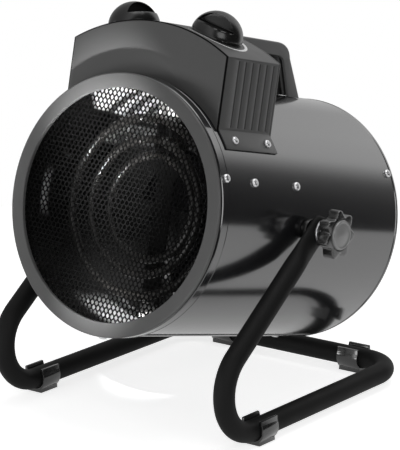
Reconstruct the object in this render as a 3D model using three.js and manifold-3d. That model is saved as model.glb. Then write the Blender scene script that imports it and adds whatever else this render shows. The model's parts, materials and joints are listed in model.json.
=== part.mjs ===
// A round electric fan heater: a drum with a guarded outlet and a control box on top, tilting in a
// bent-tube floor stand between two star clamp knobs. Millimetres, +Z up, the hot air leaves at -Y.
// The drum's own frame has its origin where the tilt pivots cross the drum axis, with y running back.
import * as THREE from "three";
import { mergeVertices } from "three/addons/utils/BufferGeometryUtils.js";
import Module from "manifold-3d";

const wasm = await Module();
wasm.setup();

// ---------------------------------------------------------------- driving dimensions
const GAP = 0.3; // what touching pieces keep between them
const REST_TILT = 13.7; // degrees the outlet is raised at rest

const DRUM = { radius: 108.5, wall: 1, front: -120.3, rear: 143.4, facets: 48 };
const BEZEL = { radius: 110, inner: 97.6, front: -127.6, skirtEnd: -112.8, skirt: 109.7 };
const GUARD = { radius: 106.4, thick: 0.9, back: -122.7, cell: 17.4, web: 3.8, open: 96.8 };
const SHIELD = { radius: 104, wall: 0.8, front: -122.4, rear: -11, facets: 36 };
const REAR_GUARD = { radius: 106.2, plate: 1.2, face: 139.2, flange: 127.5 };
const REAR_SLOTS = { rings: 4, bars: 6, first: 34, pitch: 16.4, width: 11.4, bridge: 6 };

const STAND = {
  tube: 18, // tube diameter
  side: 119.5, // half the distance between the two side planes
  slope: 35.7, // degrees, the leg against the floor
  bendY: -92.8, // where the floor run ends and the front bend starts
  bend: 37.5, // centreline radius of the front bend
  rear: 126.5, // the crossbar's centreline
  corner: 32, // centreline radius of the two rear corners
  tail: 12, // how far the tube runs past its pivot
  flat: 10, // thickness of the pressed end
  pressed: 16, // how far below the pivot the end is fully pressed
  fade: 26, // the length over which the tube comes back to round
  spread: 0.28, // how much the pressed end widens
  facets: 10,
  steps: 94,
};
const FOOT = { base: 12.5, wall: 2.6, length: 22, sideY: -82, rearX: 72 };
const PIVOT = { height: 163, stud: 4, bush: 9, washer: 10.5 };
const STAR = { radius: 21, lobes: 7, dip: 2.6, lobeStart: 133, face: 144, cap: 12.7 };

const BOX = {
  front: -107,
  rear: -31,
  half: 81.2,
  archRadius: 162,
  archCentre: -6.3,
  wall: 2.5,
  plate: 2,
  flangeAngle: 57,
  flangeThick: 1.3,
};
const GROOVE = { first: -89.1, pitch: 9.8, count: 6, width: 2.6, depth: 1.2, top: 131.5 };
const KNOB = {
  x: 44,
  y: -75.2,
  radius: 22.3,
  height: 21.2,
  foot: 0.4,
  recessWall: 2,
  recessReach: 19.4,
  ledge: 8.6,
  shaft: 3,
  shaftDepth: 16,
};
// Degrees each dial knob is turned from straight across the box, seen from above.
const KNOB_TURN = { power: 82, thermostat: 15 };
// The handle's side view, as y and z in the drum's frame.
const HANDLE = {
  width: 29,
  top: 154.5,
  bar: 12, // how deep the bar is
  wall: 3,
  corner: 18,
  barEnd: 56, // where the bar starts to bend down
  shoulder: [77.5, 142], // where the raked rear leg starts, outside
  heel: 102.5, // the leg's outer foot, at the height of the sole
  toe: 85, // and its inner foot
  sole: 104,
  crook: [70, 136.5], // where the leg meets the bar, underneath
  underEnd: 58, // where the bar's underside starts to bend
  rib: 6, // how far each inner rib stands from the middle
};
const GLAND = { x: -52, z: 121 };

const FAN = { hubY: 30, hubLength: 20, hub: 17, radius: 90, blades: 5, pitch: 32, shaft: 4 };
const MOTOR = { front: 62, rear: 116, radius: 36, boss: 11, shaftHole: 34 };
const ELEMENT = { tube: 3.6, bend: 9, steps: 36 };
const ELEMENTS = {
  element_outer: { radius: 75, y: -88, legX: 17 },
  element_middle: { radius: 57, y: -84, legX: 16 },
  element_inner: { radius: 44, y: -75, legX: 15 },
};
const BRACKET = { y: -60, thick: 1.6, width: 18, head: 34, legPast: 18 };

// Screws in the drum wall: degrees from the top towards +X, y along the drum, seat radius, length.
const SCREW = { head: 3.6, height: 2.4, shank: 1.75 };
const BEZEL_SCREWS = { right: 70.6, left: -70.6, bottom: 180 };
const BEZEL_SCREW_Y = -116.4;
const FLANGE_SCREW_ANGLE = 52.7;
const FLANGE_SCREW_Y = { front: -90.1, rear: -44.3 };
const SHIELD_SCREW_ANGLE = 71.4;
const SHIELD_SCREW_Y = { front: -75.8, rear: -15.4 };
const REAR_SCREWS = { right: 61.2, left: -61.2, bottom: 180 };
const REAR_SCREW_Y = 134;

// ---------------------------------------------------------------- finishes
const finish = (color, roughness, metalness) =>
  new THREE.MeshStandardMaterial({ color, roughness, metalness, flatShading: true });
const FINISH = {
  glossBlack: finish(0x141415, 0.22, 0.1),
  satinGrey: finish(0x4a4b4c, 0.5, 0.2),
  satinBlack: finish(0x1c1c1d, 0.5, 0.1),
  moulded: finish(0x151515, 0.4, 0),
  foot: finish(0x232323, 0.45, 0),
  zinc: finish(0xc8c9cb, 0.28, 1),
  liner: finish(0xa9abad, 0.3, 1),
  sheath: finish(0x2a2726, 0.6, 0.7),
  aluminium: finish(0xb4b6b8, 0.4, 1),
  ceramic: finish(0xd9d4c8, 0.7, 0),
};

// ---------------------------------------------------------------- solids
const turn = (degrees) => THREE.MathUtils.degToRad(degrees);

function solidOf(geometry) {
  const bare = geometry.clone();
  bare.deleteAttribute("normal");
  bare.deleteAttribute("uv");
  const merged = mergeVertices(bare, 1e-4);
  const mesh = new wasm.Mesh({
    numProp: 3,
    vertProperties: merged.attributes.position.array,
    triVerts: new Uint32Array(merged.index.array),
  });
  return new wasm.Manifold(mesh);
}

function geometryOf(solid) {
  const { vertProperties, triVerts } = solid.getMesh();
  const geometry = new THREE.BufferGeometry();
  geometry.setAttribute("position", new THREE.BufferAttribute(vertProperties, 3));
  geometry.setIndex(new THREE.BufferAttribute(triVerts, 1));
  geometry.computeVertexNormals();
  return geometry;
}

const cut = (body, ...tools) =>
  geometryOf(tools.reduce((left, tool) => left.subtract(solidOf(tool)), solidOf(body)));
const join = (body, ...others) =>
  geometryOf(others.reduce((whole, other) => whole.add(solidOf(other)), solidOf(body)));

// A profile of [radius, y] points turned about the Y axis. The points may run either way round.
function revolve(profile, facets = 24) {
  const onAxis = profile[0][0] === 0;
  const loop = onAxis ? profile : [...profile, profile[0]];
  const area = loop.reduce((sum, [r, y], i) => {
    const [r2, y2] = loop[(i + 1) % loop.length];
    return sum + r * y2 - r2 * y;
  }, 0);
  const ordered = area > 0 ? loop : [...loop].reverse();
  return new THREE.LatheGeometry(
    ordered.map(([r, y]) => new THREE.Vector2(r, y)),
    facets,
  );
}

// The same about the Z axis, for knobs, studs and screws that are placed along a radius.
const revolveUp = (profile, facets) => revolve(profile, facets).rotateX(Math.PI / 2);
// The same about the X axis, for what sits on the tilt pivot.
const revolveAcross = (profile, facets) => revolve(profile, facets).rotateZ(-Math.PI / 2);

const extrude = (shape, depth, curveSegments = 12) =>
  new THREE.ExtrudeGeometry(shape, { depth, bevelEnabled: false, curveSegments });

// An outline drawn in x and z, made into a slab from y = front to y = rear.
const slab = (shape, front, rear, curveSegments) =>
  extrude(shape, rear - front, curveSegments).rotateX(Math.PI / 2).translate(0, rear, 0);

// An outline drawn in y and z, made into a slab from x = left to x = right.
const sideSlab = (shape, left, right, curveSegments) =>
  extrude(shape, right - left, curveSegments)
    .rotateY(Math.PI / 2)
    .rotateX(Math.PI / 2)
    .translate(left, 0, 0);

const block = (x, y, z, cx = 0, cy = 0, cz = 0) =>
  new THREE.BoxGeometry(x, y, z).translate(cx, cy, cz);

// Points along an arc about the origin, for outlines that need their own number of facets.
function arcPoints(radius, from, to, facets) {
  const points = [];
  for (let k = 0; k <= facets; k++) {
    const a = from + ((to - from) * k) / facets;
    points.push(new THREE.Vector2(radius * Math.cos(a), radius * Math.sin(a)));
  }
  return points;
}
const discShape = (radius, facets) =>
  new THREE.Shape(arcPoints(radius, 0, 2 * Math.PI, facets).slice(0, facets));

// A pin or drill along the radius at an angle from the top, from one radius to another.
function radialPin(angle, y, radius, from, to, facets = 12) {
  const length = to - from;
  return new THREE.CylinderGeometry(radius, radius, length, facets)
    .rotateX(Math.PI / 2)
    .translate(0, 0, from + length / 2)
    .rotateY(turn(angle))
    .translate(0, y, 0);
}

function part(name, geometry, material) {
  const mesh = new THREE.Mesh(geometry, material);
  mesh.name = name;
  return mesh;
}

// Stands a piece that was drawn along +Z on the drum wall, turned to its angle from the top.
function onRadius(mesh, angle, y, radius) {
  mesh.position.set(radius * Math.sin(turn(angle)), y, radius * Math.cos(turn(angle)));
  mesh.rotation.y = turn(angle);
  return mesh;
}

// ---------------------------------------------------------------- drum, bezel and guards
function drumShell() {
  const { radius, wall, front, rear, facets } = DRUM;
  const inner = radius - wall;
  const shell = revolve(
    [
      [inner, front],
      [radius, front],
      [radius, rear],
      [inner - 0.9, rear],
      [inner - 0.9, rear - 6.4],
      [inner, rear - 7],
    ],
    facets,
  );
  const hole = SCREW.shank + GAP;
  const drill = (angle, y, r = hole, sides = 8) =>
    radialPin(angle, y, r, radius - 4, radius + 3, sides);
  const holes = [];
  for (const angle of Object.values(BEZEL_SCREWS)) holes.push(drill(angle, BEZEL_SCREW_Y));
  for (const side of [-1, 1]) {
    for (const y of Object.values(FLANGE_SCREW_Y)) holes.push(drill(side * FLANGE_SCREW_ANGLE, y));
    for (const y of Object.values(SHIELD_SCREW_Y)) holes.push(drill(side * SHIELD_SCREW_ANGLE, y));
    holes.push(drill(side * 90, 0, PIVOT.stud + GAP, 12));
  }
  for (const angle of Object.values(REAR_SCREWS)) holes.push(drill(angle, REAR_SCREW_Y));
  const wiring = drill(-12, -60, 7);
  return cut(shell, ...holes, wiring);
}

// The spun front ring: a flat face, a rolled outer edge, a groove and a skirt over the drum's end.
function frontBezel() {
  const { radius, inner, front, skirtEnd, skirt } = BEZEL;
  const skirtBore = DRUM.radius + GAP;
  const throat = DRUM.radius - DRUM.wall - 0.6;
  const ring = revolve(
    [
      [inner, front + 3.4],
      [inner, front],
      [radius - 1.1, front],
      [radius, front + 1.1],
      [radius, front + 3.2],
      [throat + 1, front + 4.4],
      [throat + 1, front + 5.8],
      [skirt, front + 6.3],
      [skirt, skirtEnd],
      [skirtBore, skirtEnd],
      [skirtBore, DRUM.front - GAP],
      [throat, DRUM.front - GAP],
      [throat, front + 1.4],
      [inner + 1, front + 1.4],
      [inner + 1, front + 3.4],
    ],
    DRUM.facets,
  );
  const holes = Object.values(BEZEL_SCREWS).map((angle) =>
    radialPin(angle, BEZEL_SCREW_Y, SCREW.shank + GAP, skirtBore - 3, skirt + 3, 8),
  );
  return cut(ring, ...holes);
}

// A flat net of hexagonal cells, open inside the bezel and plain where the bezel clamps it.
function frontGuard() {
  const { radius, thick, back, cell, web, open } = GUARD;
  const sheet = discShape(radius, DRUM.facets);
  const corner = (cell - web) / Math.sqrt(3);
  const rowPitch = (cell * Math.sqrt(3)) / 2;
  const rows = Math.floor(open / rowPitch);
  for (let row = -rows; row <= rows; row++) {
    const shift = row % 2 === 0 ? 0 : cell / 2;
    const columns = Math.ceil(open / cell);
    for (let column = -columns; column <= columns; column++) {
      const x = column * cell + shift;
      const z = row * rowPitch;
      if (Math.hypot(x, z) + corner > open) continue;
      const hex = new THREE.Path();
      for (let k = 0; k < 6; k++) {
        const a = turn(60 * k + 30);
        hex[k === 0 ? "moveTo" : "lineTo"](x + corner * Math.cos(a), z + corner * Math.sin(a));
      }
      hex.closePath();
      sheet.holes.push(hex);
    }
  }
  return slab(sheet, back - thick, back);
}

function innerShield() {
  const { radius, wall, front, rear, facets } = SHIELD;
  const liner = revolve(
    [
      [radius - wall, front],
      [GUARD.radius, front],
      [GUARD.radius, front + wall],
      [radius, front + wall],
      [radius, rear],
      [radius - wall, rear],
    ],
    facets,
  );
  const holes = [];
  for (const side of [-1, 1]) {
    for (const y of Object.values(SHIELD_SCREW_Y)) {
      const angle = side * SHIELD_SCREW_ANGLE;
      holes.push(radialPin(angle, y, SCREW.shank + GAP, radius - 4, radius + 2, 8));
    }
  }
  return cut(liner, ...holes);
}

// The air inlet: a pressed cup with rings of arc slots between its spokes.
function rearGuard() {
  const { radius, plate, face, flange } = REAR_GUARD;
  const { rings, bars, first, pitch, width, bridge } = REAR_SLOTS;
  const inner = radius - plate;
  const rim = revolve(
    [
      [inner, flange],
      [radius, flange],
      [radius, face],
      [inner, face],
    ],
    DRUM.facets,
  );
  const disc = discShape(inner + plate / 2, DRUM.facets);
  for (let ring = 0; ring < rings; ring++) {
    const low = first + ring * pitch;
    const high = low + width;
    const margin = bridge / low;
    for (let k = 0; k < bars; k++) {
      const from = (2 * Math.PI * k) / bars + margin;
      const to = (2 * Math.PI * (k + 1)) / bars - margin;
      disc.holes.push(new THREE.Path([...arcPoints(high, from, to, 4), ...arcPoints(low, to, from, 4)]));
    }
  }
  const holes = Object.values(REAR_SCREWS).map((angle) =>
    radialPin(angle, REAR_SCREW_Y, SCREW.shank + GAP, inner - 2, radius + 2, 8),
  );
  const cup = join(rim, slab(disc, face - plate, face));
  return cut(cup, ...holes);
}

// ---------------------------------------------------------------- heating and air
// A sheathed heating rod: a hoop open at the top, with both ends turned back through the bracket.
class Hoop extends THREE.Curve {
  constructor({ radius, y, legX }) {
    super();
    this.radius = radius;
    this.y = y;
    this.bend = ELEMENT.bend;
    this.arc = radius * (Math.PI - Math.asin(legX / radius));
    const leg = BRACKET.y + BRACKET.legPast - y - this.bend;
    this.half = this.arc + (this.bend * Math.PI) / 2 + leg;
  }
  // Distance s from the lowest point of the hoop, along one half of it.
  halfPoint(s) {
    if (s < this.arc) {
      const a = s / this.radius;
      return [this.radius * Math.sin(a), this.y, -this.radius * Math.cos(a)];
    }
    const a = this.arc / this.radius;
    const tip = [this.radius * Math.sin(a), -this.radius * Math.cos(a)];
    const away = [Math.cos(a), Math.sin(a)];
    const b = Math.min((s - this.arc) / this.bend, Math.PI / 2);
    const along = this.bend * Math.sin(b);
    const back = this.bend * (1 - Math.cos(b)) + Math.max(0, s - this.arc - this.bend * (Math.PI / 2));
    return [tip[0] + away[0] * along, this.y + back, tip[1] + away[1] * along];
  }
  getPoint(t, target = new THREE.Vector3()) {
    const s = (2 * t - 1) * this.half;
    const [x, y, z] = this.halfPoint(Math.abs(s));
    return target.set(s < 0 ? -x : x, y, z);
  }
}

function heatingElement(name) {
  const { tube, steps } = ELEMENT;
  const section = new THREE.Shape();
  for (let k = 0; k < 6; k++) {
    const a = turn(60 * k);
    const at = [tube * Math.cos(a), tube * Math.sin(a)];
    section[k === 0 ? "moveTo" : "lineTo"](...at);
  }
  section.closePath();
  const extrudePath = new Hoop(ELEMENTS[name]);
  return new THREE.ExtrudeGeometry(section, { steps, extrudePath, bevelEnabled: false });
}

// Where a rod's two ends cross the bracket.
function legPlaces(name) {
  const end = new Hoop(ELEMENTS[name]).getPoint(1);
  return [
    [end.x, end.z],
    [-end.x, end.z],
  ];
}

// An upright strap across the duct, wider at its head where the rods' ends pass through it.
function elementBracket() {
  const { y, thick, width, head } = BRACKET;
  const reach = SHIELD.radius - SHIELD.wall - 0.9;
  const low = -Math.sqrt(reach ** 2 - (width / 2) ** 2);
  const high = Math.sqrt(reach ** 2 - (head / 2) ** 2);
  const plate = new THREE.Shape([
    new THREE.Vector2(-width / 2, low),
    new THREE.Vector2(width / 2, low),
    new THREE.Vector2(width / 2, 24),
    new THREE.Vector2(head / 2, 36),
    new THREE.Vector2(head / 2, high),
    new THREE.Vector2(-head / 2, high),
    new THREE.Vector2(-head / 2, 36),
    new THREE.Vector2(-width / 2, 24),
  ]);
  for (const name of Object.keys(ELEMENTS)) {
    for (const [x, z] of legPlaces(name)) {
      const hole = new THREE.Path();
      hole.absarc(x, z, ELEMENT.tube + GAP, 0, 2 * Math.PI);
      plate.holes.push(hole);
    }
  }
  const strap = slab(plate, y, y + thick, 6);
  const foot = (z) => block(width, 12, thick, 0, y + 6, z);
  return join(strap, foot(low + thick / 2), foot(high - thick / 2));
}

// A snap-disc cut-out: a round can on a two-eared mounting plate.
function thermalCutout() {
  const back = BRACKET.y + BRACKET.thick + GAP;
  const can = revolve(
    [
      [0, back],
      [8, back],
      [8, back + 5],
      [6.4, back + 10],
      [0, back + 10],
    ],
    16,
  ).translate(0, 0, -52);
  const ears = block(8, 0.9, 26, 0, back + 0.45, -52);
  const tabs = [-1, 1].map((side) => block(0.8, 12, 6.3, side * 3, back + 15, -52));
  return join(can, ears, ...tabs);
}

function motor() {
  const { front, rear, radius, boss, shaftHole } = MOTOR;
  const can = revolve(
    [
      [0, front + shaftHole],
      [FAN.shaft + GAP, front + shaftHole],
      [FAN.shaft + GAP, front],
      [boss, front],
      [boss, front + 5],
      [radius - 7, front + 5],
      [radius, front + 12],
      [radius, rear - 9],
      [radius - 8, rear],
      [13, rear],
      [13, rear + 5],
      [0, rear + 5],
    ],
    18,
  );
  const vents = [];
  for (let k = 0; k < 6; k++) {
    vents.push(block(5, 20, 8, 0, (front + rear) / 2, radius + 1).rotateY(turn(60 * k + 30)));
  }
  return cut(can, ...vents);
}

// Four arms from the motor's nose to the drum wall, each ending in a turned foot.
function motorBracket() {
  const { front } = MOTOR;
  const back = front + 5 - GAP;
  const face = back - 2;
  const reach = DRUM.radius - DRUM.wall - 0.7;
  const hub = revolve(
    [
      [MOTOR.boss + GAP, face],
      [28, face],
      [28, back],
      [MOTOR.boss + GAP, back],
    ],
    24,
  );
  const arms = [];
  for (let k = 0; k < 4; k++) {
    const angle = turn(90 * k + 45);
    arms.push(block(14, 2, reach - 20, 0, back - 1, (reach + 20) / 2).rotateY(angle));
    arms.push(block(14, 16, 1.6, 0, face + 8, reach - 0.8).rotateY(angle));
  }
  return join(hub, ...arms);
}

// An axial impeller: swept blades of even thickness set at a pitch round a hub, with its shaft.
function fanRotor() {
  const { hubY, hubLength, hub, radius, blades, pitch, shaft } = FAN;
  const middle = hubY + hubLength / 2;
  const boss = revolve(
    [
      [0, hubY],
      [hub - 4, hubY],
      [hub, hubY + 4],
      [hub, hubY + hubLength],
      [shaft, hubY + hubLength],
      [shaft, MOTOR.front + MOTOR.shaftHole - 2],
      [0, MOTOR.front + MOTOR.shaftHole - 2],
    ],
    16,
  );
  const blade = new THREE.Shape();
  blade.moveTo(-11, hub - 5);
  blade.lineTo(11, hub - 5);
  blade.quadraticCurveTo(34, radius * 0.55, 30, radius * 0.86);
  blade.absarc(0, 0, radius, turn(72), turn(112), false);
  blade.quadraticCurveTo(-26, radius * 0.5, -11, hub - 5);
  const wing = extrude(blade, 1.6, 3).translate(0, 0, -0.8);
  const wings = [];
  for (let k = 0; k < blades; k++) {
    wings.push(
      wing
        .clone()
        .rotateY(turn(pitch))
        .rotateX(Math.PI / 2)
        .rotateY(turn((360 * k) / blades))
        .translate(0, middle, 0),
    );
  }
  return join(boss, ...wings);
}

const fanNut = () =>
  revolve(
    [
      [0, FAN.hubY - 6.5],
      [5.6, FAN.hubY - 6.5],
      [6.5, FAN.hubY - 5.6],
      [6.5, FAN.hubY - GAP],
      [0, FAN.hubY - GAP],
    ],
    6,
  );

// ---------------------------------------------------------------- control box
const archHeight = (x) => BOX.archCentre + Math.sqrt(BOX.archRadius ** 2 - x ** 2);

// The outline of the box's end plates: straight sides, an arched top and a bottom that fits the drum.
function boxOutline() {
  const { half, archRadius, archCentre } = BOX;
  const saddle = DRUM.radius + GAP;
  const archEnd = Math.asin(half / archRadius);
  const saddleEnd = Math.asin(half / saddle);
  const outline = new THREE.Shape();
  const top = Math.PI / 2;
  outline.absarc(0, archCentre, archRadius, top - archEnd, top + archEnd, false);
  outline.absarc(0, 0, saddle, top + saddleEnd, top - saddleEnd, true);
  outline.closePath();
  return outline;
}

// One folded cover: flange, ribbed side, arched top, ribbed side, flange.
function boxCover() {
  const { front, rear, half, archRadius, archCentre, wall, plate, flangeAngle, flangeThick } = BOX;
  const top = Math.PI / 2;
  const seat = DRUM.radius + GAP;
  const outerSeat = seat + flangeThick;
  const outerTurn = Math.asin(half / outerSeat);
  const innerTurn = Math.asin((half - wall) / seat);
  const tip = turn(flangeAngle);
  const archEnd = Math.asin(half / archRadius);
  const innerEnd = Math.asin((half - wall) / (archRadius - wall));
  const section = new THREE.Shape();
  section.absarc(0, 0, outerSeat, top - tip, top - outerTurn, false);
  section.absarc(0, archCentre, archRadius, top - archEnd, top + archEnd, false);
  section.absarc(0, 0, outerSeat, top + outerTurn, top + tip, false);
  section.absarc(0, 0, seat, top + tip, top + innerTurn, true);
  section.absarc(0, archCentre, archRadius - wall, top + innerEnd, top - innerEnd, true);
  section.absarc(0, 0, seat, top - innerTurn, top - tip, true);
  section.closePath();
  const cover = slab(section, front + plate + GAP, rear - plate - GAP, 5);
  const tools = [];
  const grooveLow = Math.sqrt(outerSeat ** 2 - (half - GROOVE.depth) ** 2) + 1;
  for (let k = 0; k < GROOVE.count; k++) {
    for (const side of [-1, 1]) {
      const tall = GROOVE.top - grooveLow;
      const x = side * (half + 2 - GROOVE.depth);
      const y = GROOVE.first + k * GROOVE.pitch;
      tools.push(block(4, GROOVE.width, tall, x, y, grooveLow + tall / 2));
    }
  }
  for (const side of [-1, 1]) {
    for (const y of Object.values(FLANGE_SCREW_Y)) {
      const angle = side * FLANGE_SCREW_ANGLE;
      tools.push(radialPin(angle, y, SCREW.shank + GAP, seat - 2, outerSeat + 3, 8));
    }
    tools.push(knobDrill(side, 5));
  }
  return cut(cover, ...tools);
}

// The slope of the arch under a dial knob, and a drill along the knob's axis.
const knobLean = Math.asin(KNOB.x / BOX.archRadius);

function knobDrill(side, radius) {
  return new THREE.CylinderGeometry(radius, radius, 20, 12)
    .rotateX(Math.PI / 2)
    .rotateY(side * knobLean)
    .translate(side * KNOB.x, KNOB.y, archHeight(KNOB.x));
}

const boxFront = () => slab(boxOutline(), BOX.front, BOX.front + BOX.plate, 8);

function boxRear() {
  const plate = slab(boxOutline(), BOX.rear - BOX.plate, BOX.rear, 8);
  const hole = new THREE.CylinderGeometry(8.3, 8.3, 20, 16).translate(GLAND.x, BOX.rear, GLAND.z);
  return cut(plate, hole);
}

// A cable entry: hexagon and dome nut outside, threaded body through the plate, lock nut inside.
function cableGland() {
  const outside = BOX.rear + GAP;
  const body = revolve(
    [
      [4.2, outside - 14],
      [8, outside - 14],
      [8, outside],
      [11.5, outside],
      [11.5, outside + 6],
      [9.6, outside + 7.5],
      [9.6, outside + 15],
      [6.6, outside + 20],
      [4.2, outside + 20],
    ],
    12,
  );
  const nutFront = outside - GAP - BOX.plate - GAP - 5;
  const nut = revolve(
    [
      [7, nutFront],
      [12, nutFront],
      [12, nutFront + 5],
      [7, nutFront + 5],
    ],
    6,
  );
  return join(body, nut).translate(GLAND.x, 0, GLAND.z);
}

// The switch and thermostat bodies hang under the arch on the knob axes; +Z is out of the box.
const boreProfile = (top, low) => [
  [0, low],
  [KNOB.shaft + GAP, low],
  [KNOB.shaft + GAP, top + 2],
  [0, top + 2],
];
const switchBelow = -BOX.wall - 1.2;

function switchBody() {
  const body = block(30, 34, 26, 0, 0, switchBelow - 13);
  const neck = revolveUp(
    [
      [0, switchBelow - 2],
      [7, switchBelow - 2],
      [7, switchBelow],
      [0, switchBelow],
    ],
    12,
  );
  const tags = [];
  for (let k = 0; k < 4; k++) tags.push(block(6, 0.9, 8, k % 2 ? 8 : -8, k < 2 ? 9 : -9, switchBelow - 29));
  return cut(join(body, neck, ...tags), revolveUp(boreProfile(switchBelow, switchBelow - 16), 12));
}

function thermostatBody() {
  const body = revolveUp(
    [
      [0, switchBelow - 24],
      [10, switchBelow - 24],
      [10, switchBelow - 19],
      [16, switchBelow - 19],
      [16, switchBelow - 3],
      [7, switchBelow - 3],
      [7, switchBelow],
      [0, switchBelow],
    ],
    20,
  );
  const tags = [-1, 1].map((side) => block(6, 0.9, 8, side * 11, 0, switchBelow - 22));
  return cut(join(body, ...tags), revolveUp(boreProfile(switchBelow, switchBelow - 16), 12));
}

// A dial knob: a full dome with a half-moon finger recess in its front, and its shaft.
function dialKnob() {
  const { radius, height, foot, recessWall, recessReach, ledge, shaft, shaftDepth } = KNOB;
  const steps = 7;
  const profile = [
    [0, -shaftDepth],
    [shaft, -shaftDepth],
    [shaft, foot],
    [radius - 0.3, foot],
  ];
  for (let k = 1; k < steps; k++) {
    const rise = (Math.PI / 2) * (k / steps);
    profile.push([radius * Math.cos(rise), height * Math.sin(rise)]);
  }
  const dome = revolveUp([...profile, [0, height]], 24);
  const moon = new THREE.Shape();
  const from = Math.asin(ledge / recessReach);
  moon.absarc(0, 0, recessReach, from, Math.PI - from, false);
  moon.closePath();
  return cut(dome, slab(moon, -radius - 3, -recessWall, 8));
}

// A three-way ceramic terminal block, saddled on the drum under the cover.
function terminalBlock() {
  const low = DRUM.radius + 0.4;
  const body = block(34, 18, 12, 0, -60, low + 6);
  const wells = [];
  for (let k = -1; k <= 1; k++) {
    for (const y of [-65, -55]) {
      const well = new THREE.CylinderGeometry(2.6, 2.6, 10, 6).rotateX(Math.PI / 2);
      wells.push(well.translate(k * 10.5, y, low + 12));
    }
  }
  return cut(body, ...wells);
}

// ---------------------------------------------------------------- carrying handle
// Side view in y and z: level with the box top, then a rounded corner and a raked rear leg.
function carryHandle() {
  const { width, top, bar, wall, corner, barEnd, shoulder, heel, toe, sole, crook, underEnd, rib } = HANDLE;
  const start = BOX.rear + GAP;
  const under = top - bar;
  const outline = (inset) => {
    const shape = new THREE.Shape();
    shape.moveTo(start - (inset ? 1 : 0), top - inset);
    shape.lineTo(barEnd, top - inset);
    shape.quadraticCurveTo(barEnd + corner - inset / 2, top - inset, shoulder[0] - inset, shoulder[1]);
    shape.lineTo(heel - inset, sole);
    if (inset) {
      shape.lineTo(toe - 15, sole);
      shape.lineTo(crook[0] - 10, crook[1] - 6.5);
      shape.lineTo(start - 1, crook[1] - 6.5);
    } else {
      shape.lineTo(toe, sole);
      shape.lineTo(...crook);
      shape.quadraticCurveTo(crook[0] - 3, under, underEnd, under);
      shape.lineTo(start, under);
    }
    shape.closePath();
    return shape;
  };
  const strap = sideSlab(outline(0), -width / 2, width / 2, 8);
  const channel = sideSlab(outline(wall), -width / 2 + wall, width / 2 - wall, 8);
  const drum = new THREE.CylinderGeometry(DRUM.radius + 0.4, DRUM.radius + 0.4, 400, DRUM.facets);
  const hollow = cut(channel, block(40, 18, 60, 0, start + 8, 140));
  const ribShape = outline(wall - 1);
  const shell = cut(strap, hollow);
  const ribs = [-1, 1].map((side) =>
    geometryOf(
      solidOf(sideSlab(ribShape, side * rib - 1, side * rib + 1, 8)).intersect(solidOf(strapCore())),
    ),
  );
  return cut(join(shell, ...ribs), drum);

  // The strap less a margin at its underside, so the ribs stand back from the edge of the channel.
  function strapCore() {
    const shape = new THREE.Shape();
    shape.moveTo(start + 10, top - 1);
    shape.lineTo(barEnd, top - 1);
    shape.quadraticCurveTo(barEnd + corner, top - 1, shoulder[0] - 0.5, shoulder[1]);
    shape.lineTo(heel - 0.5, sole);
    shape.lineTo(toe + 3, sole);
    shape.lineTo(crook[0] + 2.5, crook[1] + 1);
    shape.quadraticCurveTo(crook[0] - 2, under + 3, underEnd, under + 3);
    shape.lineTo(start + 10, under + 3);
    shape.closePath();
    return sideSlab(shape, -width / 2 + 1, width / 2 - 1, 8);
  }
}

// ---------------------------------------------------------------- fasteners
function panScrew(length) {
  const { head, height, shank } = SCREW;
  return revolveUp(
    [
      [0, -length],
      [shank, -length + 2],
      [shank, 0],
      [head, 0],
      [head - 0.7, height],
      [0, height],
    ],
    7,
  );
}

function spacer(radius, bore, length) {
  return revolveUp(
    [
      [bore, 0],
      [radius, 0],
      [radius, length],
      [bore, length],
    ],
    8,
  );
}

// ---------------------------------------------------------------- stand
// The tube's centreline from the right pivot end round to the left one.
class StandPath extends THREE.Curve {
  constructor() {
    super();
    const { side, slope, bendY, bend, rear, corner, tail } = STAND;
    const floor = FOOT.base;
    const down = turn(slope);
    const leg = new THREE.Vector3(0, -Math.cos(down), -Math.sin(down));
    const pivot = new THREE.Vector3(side, 0, PIVOT.height);
    const bendCentre = new THREE.Vector3(side, bendY, floor + bend);
    const outward = new THREE.Vector3(0, -Math.sin(down), Math.cos(down));
    const legEnd = bendCentre.clone().addScaledVector(outward, bend);
    const legLength = legEnd.clone().sub(pivot).dot(leg);
    const start = legEnd.clone().addScaledVector(leg, -(legLength + tail));
    const turnAngle = Math.PI - down;
    this.runs = [
      [legLength + tail, (s) => start.clone().addScaledVector(leg, s)],
      [
        bend * turnAngle,
        (s) => {
          const a = down + s / bend;
          return bendCentre.clone().add(new THREE.Vector3(0, -Math.sin(a) * bend, Math.cos(a) * bend));
        },
      ],
      [rear - corner - bendY, (s) => new THREE.Vector3(side, bendY + s, floor)],
      [
        (corner * Math.PI) / 2,
        (s) => {
          const a = s / corner;
          return new THREE.Vector3(
            side - corner + corner * Math.cos(a),
            rear - corner + corner * Math.sin(a),
            floor,
          );
        },
      ],
      [side - corner, (s) => new THREE.Vector3(side - corner - s, rear, floor)],
    ];
    this.half = this.runs.reduce((sum, [length]) => sum + length, 0);
  }
  getPoint(t, target = new THREE.Vector3()) {
    const mirrored = t > 0.5;
    let s = (mirrored ? 1 - t : t) * 2 * this.half;
    for (const [index, [length, at]] of this.runs.entries()) {
      if (s <= length || index === this.runs.length - 1) {
        target.copy(at(Math.min(s, length)));
        break;
      }
      s -= length;
    }
    if (mirrored) target.x = -target.x;
    return target;
  }
}

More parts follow.
